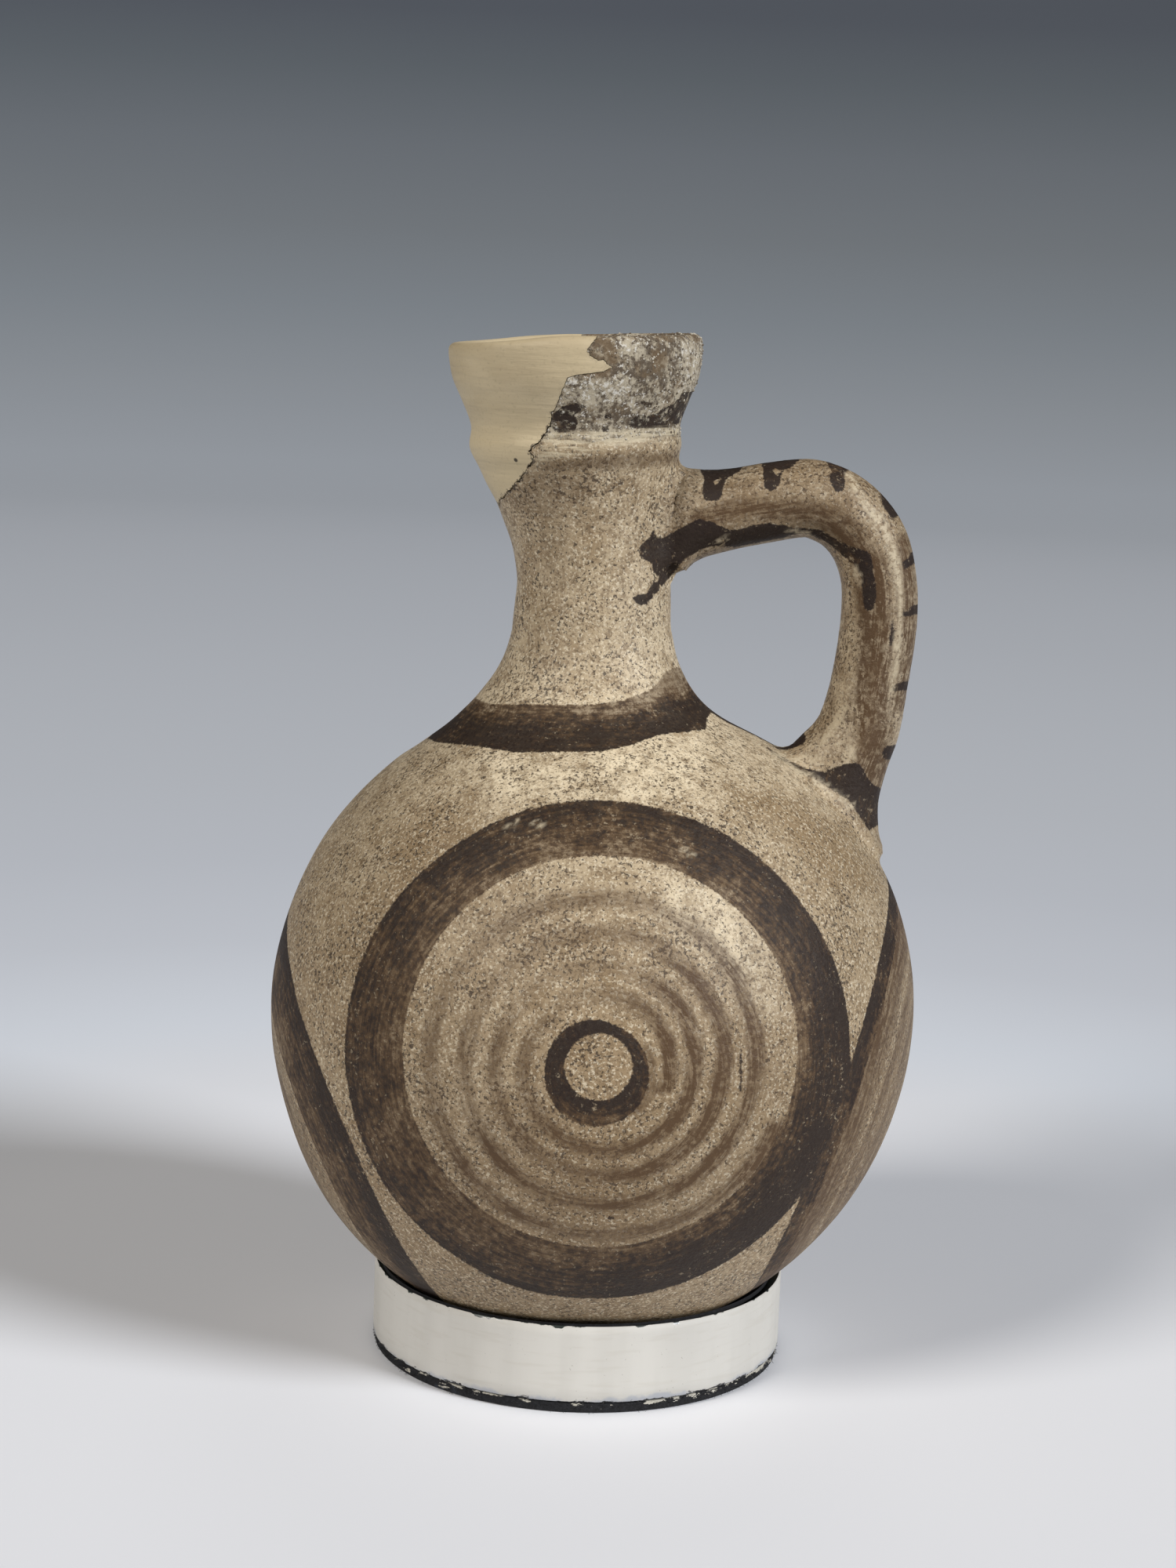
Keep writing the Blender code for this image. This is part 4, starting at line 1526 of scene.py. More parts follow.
class Finish:
    """A named material whose nodes are put together by the finish that owns it."""

    def __init__(self, name: str) -> None:
        """Starts the tree with its shader and the object's own coordinates.

        Args:
            name: The material's name.
        """
        self.material = bpy.data.materials.new(name)
        self.material.use_nodes = True
        self.add = partial(add_node, self.material.node_tree)
        self.shader = self.material.node_tree.nodes["Principled BSDF"]
        self.place = self.add("ShaderNodeTexCoord", out="Object")
        self.noise: dict[Flecks, NodeSocket] = {}

    def above(self, level: float) -> NodeSocket:
        """Height above a level, both in millimetres."""
        height = self.add("ShaderNodeSeparateXYZ", {0: self.place}, "Z")
        return self.add(MATH, {0: height, 1: 1.0 / MM, 2: -level}, **TIMES_PLUS)

    def uneven(self, value: NodeSocket, pattern: NodeSocket, weight: float, middle: float = 0.5) -> NodeSocket:
        """Makes a value uneven by a pattern that lies about a middle."""
        change = self.add(MATH, {0: pattern, 1: middle}, **MINUS)
        return self.add(MATH, {0: change, 1: weight, 2: value}, **TIMES_PLUS)

    def over(
        self, below: object, colour: object, pattern: NodeSocket, low: float, high: float, most: float = 1.0,
        least: float = 0.0, where: NodeSocket | None = None,
    ) -> NodeSocket:
        """Lays a colour over what lies below it, softly from one level of a pattern to another.

        Args:
            below: What lies below, as an output or a hex colour.
            colour: The colour that is laid, likewise.
            pattern: The pattern.
            low: The pattern's level at which the colour is thinnest.
            high: The pattern's level at which it is thickest.
            most: How thick it is past the high level, from 0 to 1.
            least: How thick it is before the low level.
            where: Where it lies at all, from 0 to 1.

        Returns:
            The colour that shows.
        """
        share = self.add(RANGE, {0: pattern, FROM: low, TO: high, START: least, END: most}, **SOFT)
        if where is not None:
            share = self.add(MATH, {0: where, 1: share}, **TIMES)
        return self.add(MIX, {SHARE: share, UNDER: below, OVER: colour}, MIXED, **COLOURS)

    def lay(self, colour: object, *layers: Flecks) -> NodeSocket:
        """Lays flecks over a colour, layer by layer, and keeps each layer's noise.

        Args:
            colour: The colour below.
            layers: The flecks, from below.

        Returns:
            The colour that shows.
        """
        for layer in layers:
            place = self.place
            if layer.stretch != EVEN:
                place = self.add(VECTOR, {0: place, 1: layer.stretch}, **TIMES)
            look = {"Scale": scale_of(layer.size), "Detail": layer.detail, "Roughness": layer.rough}
            noise = self.noise[layer] = self.add(NOISE, {0: place, **look, "Distortion": layer.twist})
            colour = self.over(colour, layer.colour, noise, layer.low, layer.high, layer.strength)
        return colour

    def end(
        self, colour: object, roughness: object, height: object = None, depth: float = 0.0, specular: float = 0.5
    ) -> Material:
        """Joins the colour, the roughness and the relief to the shader.

        Args:
            colour: The base colour.
            roughness: The roughness.
            height: Relief from 0 to 1.
            depth: What the relief's full height is, in millimetres.
            specular: The shader's specular level.

        Returns:
            The finished material.
        """
        sockets = {"Base Color": colour, "Roughness": roughness, "Specular IOR Level": specular}
        if height is not None:
            sockets["Normal"] = self.add("ShaderNodeBump", {"Height": height, "Distance": depth * MM, "Strength": 1.0})
        fill(self.material.node_tree, self.shader, sockets)
        return self.material


@dataclass(frozen=True)
class SlippedClay:
    """Buff slip over gritty clay with matt umber paint, thin brown washes and a lime crust round the mouth."""

    # Slip colours on the shoulder and low on the belly; mixing between them by height paints highlight on the shoulder
    # and shade on the belly
    high: str = "#E4D3B4"
    low: str = "#937E61"
    pepper: str = "#33281F"
    paint: str = "#20130C"
    thin: str = "#513C26"
    worn: str = "#95866E"
    # Pale colour of the scuffs and of the painted highlights on the handle's ridges
    rubbed_and_lit: str = "#BBAC91"
    earth: str = "#4E4337"
    cream: str = "#C4B69A"
    joint: str = "#342C25"
    # Clouds of about 20 mm, mottling of 3 mm, brown smudges of 1 mm, and pale and dark grains in the slip
    slip: tuple[Flecks, ...] = (
        Flecks(20.83, 0.38, 0.66, 0.38, "#846E50"), Flecks(3.03, 0.42, 0.68, 0.62, "#846E50", rough=0.6),
        Flecks(1.2195, 0.48, 0.66, 0.62, "#6A563E", rough=0.65),
        Flecks(0.4, 0.52, 0.64, 0.56, "#E0D3B9", 3.0, 0.6), Flecks(1.0 / 3.0, 0.54, 0.64, 0.5, "#58452F", 2.0, 0.6),
    )
    # Grey lime, rust-brown earth and white lime of the crust: each pattern's size, detail and roughness, how far the
    # limy places change it, its two levels and its strength, and its colour
    crust: tuple[tuple[tuple[float, ...], float, tuple[float, ...], str], ...] = (
        ((2.381, 6.0, 0.72), 0.10, (0.88, 1.13, 1.0), "#AEA38E"),
        ((3.0303, 6.0, 0.72), -0.10, (0.49, 0.62, 0.62), "#6A563D"),
        ((0.5882, 4.0, 0.7), 0.07, (0.57, 0.64, 0.9), "#D3CEC3"),
    )

    def material(self) -> Material:
        """Fired clay: matt, peppered with dark grit, faintly burnished, painted and worn.

        Returns:
            The finished material.
        """
        f = Finish("slipped_fired_clay")
        add, place, over, uneven = f.add, f.place, f.over, f.uneven
        marks = {
            name: add(ATTRIBUTE, out="Fac", attribute_name=name)
            for name in ("ink", "tone", "wash_and_shade", "pale", "slip_pale_and_lit", "crust", "lime", "cream", "seam", "drop")
        }
        grainy, patchy, chips, skin, crumb, thick = (
            add(NOISE, {0: place, "Scale": scale_of(size), "Detail": detail, "Roughness": rough})
            for size, detail, rough in (
                (0.8, 5.0, 0.7), (4.762, 4.0, 0.6), (0.5263, 4.0, 0.7), (1.9231, 6.0, 0.6), (0.6667, 5.0, 0.72),
                (1.6129, 5.0, 0.65),
            )
        )
        # Slip mixed between its two colours by painted highlight and painted shade, and by the slip's clouds, some of
        # which are painted light too
        ground = add(MIX, {SHARE: marks["slip_pale_and_lit"], UNDER: self.low, OVER: self.high}, MIXED, **COLOURS)
        ground = f.lay(ground, *self.slip)
        # Dark pepper of 0.2 to 0.5 mm, closer set in swarms of about 7 mm
        crowd = add(NOISE, {0: place, "Scale": scale_of(6.667), "Detail": 3.0})
        crowd = add(RANGE, {0: crowd, FROM: 0.3, TO: 0.7, START: -0.045, END: 0.045}, **SOFT)
        look = {"Scale": scale_of(0.4348), "Detail": 3.0, "Roughness": 0.62, "Distortion": 0.3}
        grit = add(MATH, {0: add(NOISE, {0: place, **look}), 1: crowd}, **PLUS)
        ground = over(ground, self.pepper, grit, 0.57, 0.625, 0.82)
        # Thin brown wash, streaked along the brush, which also paints the shade under the neck's ridge: streaks about
        # 0.4 mm wide and 8 mm long
        brush = add(ATTRIBUTE, out="Vector", attribute_name="brush")
        run = add(VECTOR, {0: brush, 1: (2.4, 0.12, 1.0)}, **TIMES)
        streak = add(NOISE, {0: run, "Scale": 1.0, "Detail": 4.0, "Roughness": 0.62})
        streaky = add(MATH, {0: streak, 1: grainy}, **PLUS)
        colour = over(ground, self.thin, streaky, 0.80, 1.15, 1.2, 0.55, marks["wash_and_shade"])
        # Paint with a crisp, slightly ragged edge, brown where it ran thin, clouded and streaked
        ragged = add(MATH, {0: f.noise[self.slip[-1]], 1: grainy}, **PLUS)
        edge = add(RANGE, {0: uneven(marks["ink"], ragged, 0.45, 1.0), FROM: -0.08, TO: 0.12}, **SOFT)
        dense = uneven(marks["tone"], streak, 1.2)
        dense = uneven(uneven(dense, patchy, 1.1, 0.52), grainy, 1.7)
        ink = over(self.thin, self.paint, dense, 0.20, 0.80)
        colour = over(colour, ink, dense, -0.10, 0.45, 0.97, 0.50, edge)
        # Pale specks of about 0.5 mm worn through the paint in swarms, then pale scuffs and painted highlights along
        # the handle's ridges
        colour = over(colour, self.worn, uneven(chips, patchy, -0.35), 0.61, 0.72, 0.8, where=edge)
        colour = over(colour, self.rubbed_and_lit, grainy, 0.38, 0.56, 0.9, where=marks["pale"])
        # Crust of lime and earth, thinner on the paint; its first pattern is two sizes run together
        crust = self.earth
        for number, ((size, detail, rough), change, levels, tint) in enumerate(self.crust):
            pattern = add(NOISE, {0: place, "Scale": scale_of(size), "Detail": detail, "Roughness": rough})
            if number == 0:
                pattern = add(MATH, {0: pattern, 1: crumb}, **PLUS)
            crust = over(crust, tint, add(MATH, {0: marks["lime"], 1: change, 2: pattern}, **TIMES_PLUS), *levels)
        thick = add(MATH, {0: edge, 1: -0.22, 2: thick}, **TIMES_PLUS)
        thick = add(RANGE, {0: thick, FROM: 0.26, TO: 0.38}, **SOFT)
        shown = add(MATH, {0: marks["crust"], 1: thick}, **TIMES)
        share = add(MATH, {0: shown, 1: 0.92}, **TIMES)
        colour = add(MIX, {SHARE: share, UNDER: colour, OVER: crust}, MIXED, **COLOURS)
        # Cream band, wiped round the neck
        level = add(VECTOR, {0: place, 1: (0.08, 0.08, 1.0)}, **TIMES)
        wiped = add(NOISE, {0: level, "Scale": scale_of(0.3846), "Detail": 4.0, "Roughness": 0.6})
        colour = over(colour, self.cream, wiped, 0.42, 0.60, 0.85, 0.10, marks["cream"])
        # Dark earth in the lower part of the seam to the plaster
        lower = add(RANGE, {0: marks["drop"], FROM: 4.5, TO: 9.0, START: 0.4, END: 1.0}, **SOFT)
        colour = over(colour, self.joint, uneven(marks["seam"], grainy, 2.6), -0.05, 0.20, 0.0, 0.75, lower)
        # A skin that is pitted at the dark grits and raised by the crust
        height = add(MATH, {0: grit, 1: -0.5, 2: skin}, **TIMES_PLUS)
        height = add(MATH, {0: height, 1: shown}, **PLUS)
        rough = add(RANGE, {0: edge, START: 0.52, END: 0.62}, **SOFT)
        rough = add(MATH, {0: shown, 1: 0.3, 2: rough}, **TIMES_PLUS)
        return f.end(colour, rough, height, 0.20, 0.30)


@dataclass(frozen=True)
class RestorationPlaster:
    """Smooth cream plaster, rubbed down and toned to the clay."""

    tone: str = "#B9A887"
    # Paler tone for the lower flare, painted light that evens out the shade where the plaster faces down
    low: str = "#C4B391"
    hole: str = "#40372A"
    dirt: str = "#4A4033"
    # Wiping marks of about 1 mm round the mouth, paler smears of 7 mm and fine grain
    wipe: Flecks = Flecks(0.9091, 0.35, 0.7, 1.0, "#B1A080", stretch=ROUND)
    smear: Flecks = Flecks(6.667, 0.5, 0.72, 0.6, "#C5B595", 3.0, stretch=(0.5, 0.5, 1.0))
    grain: Flecks = Flecks(0.3846, 0.56, 0.7, 0.16, "#6E6250", 3.0)

    def material(self) -> Material:
        """Plaster: even, matt and faintly wiped round the mouth, paler lower down as painted light, with a few
        pinholes.

        Returns:
            The finished material.
        """
        f = Finish("toned_plaster")
        add, place, over = f.add, f.place, f.over
        seam, drop = (add(ATTRIBUTE, out="Fac", attribute_name=name) for name in ("seam", "drop"))
        # Paler lower down the flare: painted light against the shade of the downward-facing plaster
        colour = over(f.lay(self.tone, self.wipe, self.smear), self.low, drop, 5.0, 17.0, 0.9)
        # Pinholes of about 0.3 mm, one in every fourth cell of 4 mm
        cells = add(CELLS, {0: place, "Scale": scale_of(4.1667)}, "Distance")
        pick = add("ShaderNodeSeparateColor", {0: cells.node.outputs["Color"]})
        pick = add(RANGE, {0: pick, FROM: 0.72, TO: 0.76}, **SOFT)
        colour = f.lay(over(colour, self.hole, cells, 0.05, 0.09, 0.0, 1.0, pick), self.grain)
        # Dirt in the lower part of the seam
        lower = add(RANGE, {0: drop, FROM: 7.0, TO: 12.0, START: 0.15, END: 0.8}, **SOFT)
        colour = over(colour, self.dirt, f.uneven(seam, f.noise[self.grain], 1.6), 0.0, 0.25, 0.0, 1.0, lower)
        lumps = add(NOISE, {0: place, "Scale": scale_of(7.692), "Detail": 4.0})
        height = add(MATH, {0: lumps, 1: 3.0, 2: f.noise[self.wipe]}, **TIMES_PLUS)
        return f.end(colour, 0.62, height, 0.16)


@dataclass(frozen=True)
class LimeGrain:
    """Loose grains of lime and earth stuck in the crust."""

    brown: str = "#5D5040"
    pale: Flecks = Flecks(0.7692, 0.4, 0.6, 1.0, "#B8B0A0", 2.0)

    def material(self) -> Material:
        """Chalky grains, cream, grey and brown from place to place."""
        f = Finish("lime_grain")
        return f.end(f.lay(self.brown, self.pale), 0.9)


@dataclass(frozen=True)
class PaintedAcrylic:
    """Clear acrylic tube, painted cream-white outside; the paint is chipped along its upper edge."""

    outer: float
    shift: float
    foot: float
    top: float
    paint: str = "#C2BFB8"
    chipped: str = "#2F3532"
    smudge: str = "#8F95A2"
    glue: str = "#0F0F11"
    bare: str = "#5C665F"
    # Upright lathe streaks of 4 mm, brush strokes across of 0.7 mm and dust specks of 0.3 mm
    streak: Flecks = Flecks(3.846, 0.35, 0.7, 1.0, "#BCB9B2", stretch=UPRIGHT)
    across: Flecks = Flecks(0.6667, 0.5, 0.7, 0.35, "#B3AEA4", stretch=(0.12, 0.12, 1.0))
    speck: Flecks = Flecks(1.0 / 3.0, 0.72, 0.78, 0.7, "#7A756B", 2.0)

    def material(self) -> Material:
        """Smooth satin paint with faint lathe streaks, and grey-green acrylic in its chips.

        Returns:
            The finished material.
        """
        f = Finish("painted_acrylic")
        add, place, over = f.add, f.place, f.over
        colour = f.lay(self.paint, self.streak, self.across, self.speck)
        # Chips of about 2 mm along the upper edge
        level = add(VECTOR, {0: place, 1: (0.7, 0.7, 0.4)}, **TIMES)
        chip = add(NOISE, {0: level, "Scale": scale_of(1.7857), "Detail": 5.0})
        chip = f.uneven(f.above(self.top - 0.3), chip, 1.9)
        colour = over(colour, self.chipped, chip, 0.30, 0.38)
        # Blue-grey smudges where the paint runs out over the felt
        above = f.above(self.foot)
        low = add(RANGE, {0: above, FROM: 2.2, TO: 0.0})
        smudge = add(NOISE, {0: place, "Scale": scale_of(4.762), "Detail": 5.0, "Roughness": 0.65})
        colour = over(colour, self.smudge, add(MATH, {0: smudge, 1: low}, **TIMES), 0.34, 0.5, 0.6)
        # Black glue and felt fluff over the lower edge, which the paint meets in broken flecks
        level = add(VECTOR, {0: place, 1: SMEARED}, **TIMES)
        broken = add(NOISE, {0: level, "Scale": scale_of(0.6667), "Detail": 4.0, "Roughness": 0.7})
        colour = over(colour, self.glue, f.uneven(above, broken, 2.4), 0.10, 0.18, 0.0, 1.0)
        # Bare acrylic on the seat
        flat = add(VECTOR, {0: place, 1: (-self.shift * MM, 0.0, 0.0)}, **PLUS)
        flat = add(VECTOR, {0: flat, 1: (1.0, 1.0, 0.0)}, **TIMES)
        away = add(VECTOR, {0: flat}, "Value", operation="LENGTH")
        seat = add(MATH, {0: away, 1: (self.outer - 0.28) * MM}, operation="LESS_THAN")
        colour = add(MIX, {SHARE: seat, UNDER: colour, OVER: self.bare}, MIXED, **COLOURS)
        rough = add(RANGE, {0: chip, FROM: 0.26, TO: 0.34, START: 0.55, END: 0.25}, **SOFT)
        return f.end(colour, rough, f.noise[self.streak], 0.006)


@dataclass(frozen=True)
class BlackFelt:
    """Dense black wool felt, cut from sheet, with flecks of the ring's paint."""

    name: str
    paint_from: float
    wool: str = "#0B0B0D"
    paint: str = "#B9B4A8"
    # Fibres of about 0.1 mm, drawn some four times as coarse to show, and scuffs of about 3 mm
    fibre: Flecks = Flecks(0.3846, 0.4, 0.75, 1.0, "#26262B", 5.0, 0.7, twist=1.5)
    scuff: Flecks = Flecks(3.333, 0.62, 0.75, 0.35, "#4B5260")

    def material(self) -> Material:
        """Felt: black, fibrous and dull; paint flecks lie above the given height in millimetres.

        Returns:
            The finished material.
        """
        f = Finish(self.name)
        add = f.add
        # Paint flecks of about 1 mm, in swarms of about 20 mm
        swarm = add(NOISE, {0: f.place, "Scale": scale_of(18.18), "Detail": 2.0})
        swarm = add(RANGE, {0: swarm, FROM: 0.36, TO: 0.58, START: -0.6, END: 0.40}, **SOFT)
        high = add(MATH, {0: f.above(self.paint_from), 1: swarm}, **PLUS)
        level = add(VECTOR, {0: f.place, 1: SMEARED}, **TIMES)
        fleck = add(NOISE, {0: level, "Scale": scale_of(0.9091), "Detail": 4.0, "Roughness": 0.65})
        colour = f.over(f.lay(self.wool, self.fibre), self.paint, f.uneven(high, fleck, 7.0), 0.0, 0.25)
        return f.end(f.lay(colour, self.scuff), 0.95, f.noise[self.fibre], 0.10)


# ---- Geometry Nodes


class NodeForm:
    """A Geometry Nodes tree that is run once on a mesh and turned into a plain mesh."""

    def __init__(self, name: str, sizes: dict[str, tuple[str, object]]) -> None:
        """Starts the tree.

        Args:
            name: The tree's name.
            sizes: Socket type and value of each named input.
        """
        self.tree = bpy.data.node_groups.new(name, "GeometryNodeTree")
        face = self.tree.interface
        face.new_socket("Geometry", in_out="INPUT", socket_type="NodeSocketGeometry")
        self.values = {
            face.new_socket(key, in_out="INPUT", socket_type=kind).identifier: value
            for key, (kind, value) in sizes.items()
        }
        face.new_socket("Geometry", in_out="OUTPUT", socket_type="NodeSocketGeometry")
        self.add = partial(add_node, self.tree)
        self.given = self.add("NodeGroupInput").node.outputs

    def run(self, thing: Object, made: NodeSocket) -> Object:
        """Ends the tree and turns its result into the object's plain mesh.

        Args:
            thing: The object whose mesh goes in.
            made: The geometry that comes out, before its instances are made real.

        Returns:
            The same object with the finished mesh.
        """
        real = self.add("GeometryNodeRealizeInstances", {0: made})
        done = self.add("GeometryNodeSetMaterial", {0: real, "Material": self.given["Material"]})
        self.add("NodeGroupOutput", {0: done})
        step = thing.modifiers.new(self.tree.name, "NODES")
        step.node_group = self.tree
        for identifier, value in self.values.items():
            step[identifier] = value
        as_plain_mesh(thing)
        return thing


def turned_piece(name: str, profile: Outline, shift: float, material: Material) -> Object:
    """Turns a closed profile about the upright axis.

    Args:
        name: The piece's name.
        profile: Radius and height of each corner, in millimetres.
        shift: How far the axis stands along X, in millimetres.
        material: The piece's material.

    Returns:
        The turned piece.
    """
    sides, base, merged = 240, 10.0, 0.002
    corners = [((radius - base) * MM, -height * MM, 0.0) for radius, height in profile]
    mesh = bpy.data.meshes.new(name)
    mesh.from_pydata(corners, [(i, (i + 1) % len(corners)) for i in range(len(corners))], [])
    thing = linked(name, mesh)
    sizes = {
        "Sides": ("NodeSocketInt", sides),
        "Base radius": ("NodeSocketFloat", base * MM),
        "Shift": ("NodeSocketVector", (shift * MM, 0.0, 0.0)),
        "Material": ("NodeSocketMaterial", material),
    }
    form = NodeForm("turned_form", sizes)
    section = form.add("GeometryNodeMeshToCurve", {0: form.given["Geometry"]})
    ends = {"Resolution": form.given["Sides"], "Radius": form.given["Base radius"]}
    path = form.add("GeometryNodeCurvePrimitiveCircle", ends, mode="RADIUS")
    swept = form.add("GeometryNodeCurveToMesh", {"Curve": path, "Profile Curve": section})
    closed = form.add("GeometryNodeMergeByDistance", {0: swept, "Distance": merged * MM})
    moved = form.add("GeometryNodeTransform", {0: closed, "Translation": form.given["Shift"]})
    form.run(thing, moved)
    outwards(thing)
    return thing


def strewn(
    name: str, bed: Object, kind: Strewn, density: float, size: tuple[float, float], seed: int, material: Material
) -> Object:
    """Strews small things over a bed, thickest where its attribute `strew` is 1.

    Args:
        name: The piece's name.
        bed: The mesh that carries them; it is used up.
        kind: What is strewn.
        density: Things to the square millimetre.
        size: Smallest and largest size in millimetres.
        seed: Number that fixes their places.
        material: Their material.

    Returns:
        The strewn piece.
    """
    bed.name = name
    sizes = {
        "Density": ("NodeSocketFloat", density * 1e6),
        "Smallest": ("NodeSocketFloat", size[0] * MM),
        "Largest": ("NodeSocketFloat", size[1] * MM),
        "Seed": ("NodeSocketInt", seed),
        "Material": ("NodeSocketMaterial", material),
    }
    form = NodeForm(f"strewn_{kind.value}", sizes)
    add, given = form.add, form.given
    share = add("GeometryNodeInputNamedAttribute", {"Name": "strew"}, "Attribute", data_type="FLOAT")
    dense = add(MATH, {0: share, 1: given["Density"]}, **TIMES)
    bed_inputs = {"Mesh": given["Geometry"], "Density": dense, "Seed": given["Seed"]}
    spots = add("GeometryNodeDistributePointsOnFaces", bed_inputs, distribute_method="RANDOM")
    # A grain is a ball and a fibre a slightly bent hair, both 1 long; they lean this far to any side, in radians
    if kind is Strewn.GRAIN:
        small = add("GeometryNodeMeshIcoSphere", {"Radius": 0.5, "Subdivisions": 1})
        lean = 3.2
    else:
        hair = add("GeometryNodeCurvePrimitiveLine", {"Start": (0.0, 0.0, -0.1), "End": (0.15, 0.0, 1.0)})
        round_wire = add("GeometryNodeCurvePrimitiveCircle", {"Resolution": 3, "Radius": 0.05}, mode="RADIUS")
        small = add("GeometryNodeCurveToMesh", {"Curve": hair, "Profile Curve": round_wire, "Fill Caps": True})
        lean = 1.1
    lowest, highest = (-lean, -lean, -math.pi), (lean, lean, math.pi)
    turn = add("FunctionNodeRandomValue", {0: lowest, 1: highest, "Seed": given["Seed"]}, data_type="FLOAT_VECTOR")
    span = {2: given["Smallest"], 3: given["Largest"], "Seed": given["Seed"]}
    long = add("FunctionNodeRandomValue", span, 1, data_type="FLOAT")
    upright = spots.node.outputs["Rotation"]
    spread = {"Points": spots, "Instance": small, "Rotation": upright, "Scale": long}
    placed = add("GeometryNodeInstanceOnPoints", spread)
    return form.run(bed, add("GeometryNodeRotateInstances", {0: placed, "Rotation": turn, "Local Space": True}))


# ---- display ring


@dataclass(frozen=True)
class DisplayRing:
    """The tube slice, its felt lining and its felt foot, in millimetres on the floor."""

    form: VesselForm
    shift: float = -0.5
    outer: float = 27.8
    wall: float = 4.0
    base: float = 1.56
    top: float = 11.7
    seat_gap: float = 1.05
    felt: float = 1.5
    lining: tuple[float, float] = (24.6, 26.6)
    lining_shift: float = -0.8
    lining_gaps: tuple[float, float] = (0.31, 0.78)
    seat_from: float = 7.0
    seat_steps: int = 12
    eased: float = 0.2
    fibre_density: float = 14.0
    fibre_size: tuple[float, float] = (0.15, 0.5)

    def belly(self, radius: float, gap: float) -> float:
        """Height of the belly's underside, less a gap, at a radius."""
        share = min(radius / (self.form.body_radius + gap), 0.999)
        return self.form.equator - (self.form.belly_depth + gap) * math.sqrt(1.0 - share * share)

    def tube_profile(self) -> Outline:
        """Section of the tube: straight walls, a seat that follows the belly and eased edges.

        Returns:
            Radius and height of each corner.
        """
        inner, outer, eased, foot = self.outer - self.wall, self.outer, self.eased, 0.15
        seat = np.linspace(inner + 0.1, outer - 0.5, self.seat_steps)
        corners = [(inner, self.base + eased), (inner, self.seat_from)]
        corners += [(radius, min(self.belly(radius, self.seat_gap), self.top)) for radius in seat]
        corners += [(outer - eased, self.top), (outer, self.top - eased)]
        corners += [(outer, height) for height in np.linspace(self.top - 1.2, self.base + eased, 6)]
        return (*corners, (outer - foot, self.base), (inner + foot, self.base))

    def lining_profile(self) -> Outline:
        """Section of the felt strip on the seat.

        Returns:
            Radius and height of each corner.
        """
        (low, high), (near, far), swell, middle = self.lining, self.lining_gaps, 0.08, 0.5
        across = np.linspace(low, high, 6)
        upper = [(radius, self.belly(radius, near)) for radius in across[::-1]]
        lower = [(radius, self.belly(radius, far)) for radius in across]
        return (*lower, (high + swell, self.belly(high, middle)), *upper, (low - swell, self.belly(low, middle)))

    def foot_profile(self) -> Outline:
        """Section of the round felt pad, from its middle.

        Returns:
            Radius and height of each corner.
        """
        rim = self.outer - 0.25
        return (
            (0.0, 0.0), (12.0, 0.0), (rim - 0.35, 0.0), (rim - 0.05, 0.22), (rim, 0.8), (rim - 0.06, 1.3),
            (rim - 0.35, self.felt), (12.0, self.felt), (0.0, self.felt),
        )

    def fuzz(self, foot: Object, felt: Material) -> Object:
        """Strews loose fibres over the outer side of the felt foot.

        Args:
            foot: The felt foot.
            felt: Its material.

        Returns:
            The fibres.
        """
        depth, low, high = 0.9, 0.3, 1.45
        bed = copied(foot, "felt_foot_fuzz")
        x, y, z = mesh_points(bed).T / MM
        side = (np.hypot(x - self.shift, y) > self.outer - depth) & (z > low) & (z < high)
        set_values(bed, "strew", side.astype(float))
        fuzz = strewn("felt_foot_fuzz", bed, Strewn.FIBRE, self.fibre_density, self.fibre_size, 8, felt)
        return fuzz

    def build(self) -> list[tuple[Object, Piece | None]]:
        """Builds the three pieces and the loose fibres.

        Returns:
            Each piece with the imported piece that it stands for.
        """
        acrylic = PaintedAcrylic(self.outer, self.shift, self.base, self.top).material()
        strip, pad = BlackFelt("black_felt_strip", 20.0).material(), BlackFelt("black_felt_pad", 1.45).material()
        tube = turned_piece("display_ring_dressed", self.tube_profile(), self.shift, acrylic)
        lining = turned_piece("ring_lining_dressed", self.lining_profile(), self.lining_shift, strip)
        foot = turned_piece("felt_foot_dressed", self.foot_profile(), self.shift, pad)
        return [(tube, Piece.RING), (lining, Piece.LINING), (foot, Piece.FOOT), (self.fuzz(foot, pad), None)]


# ---- studio


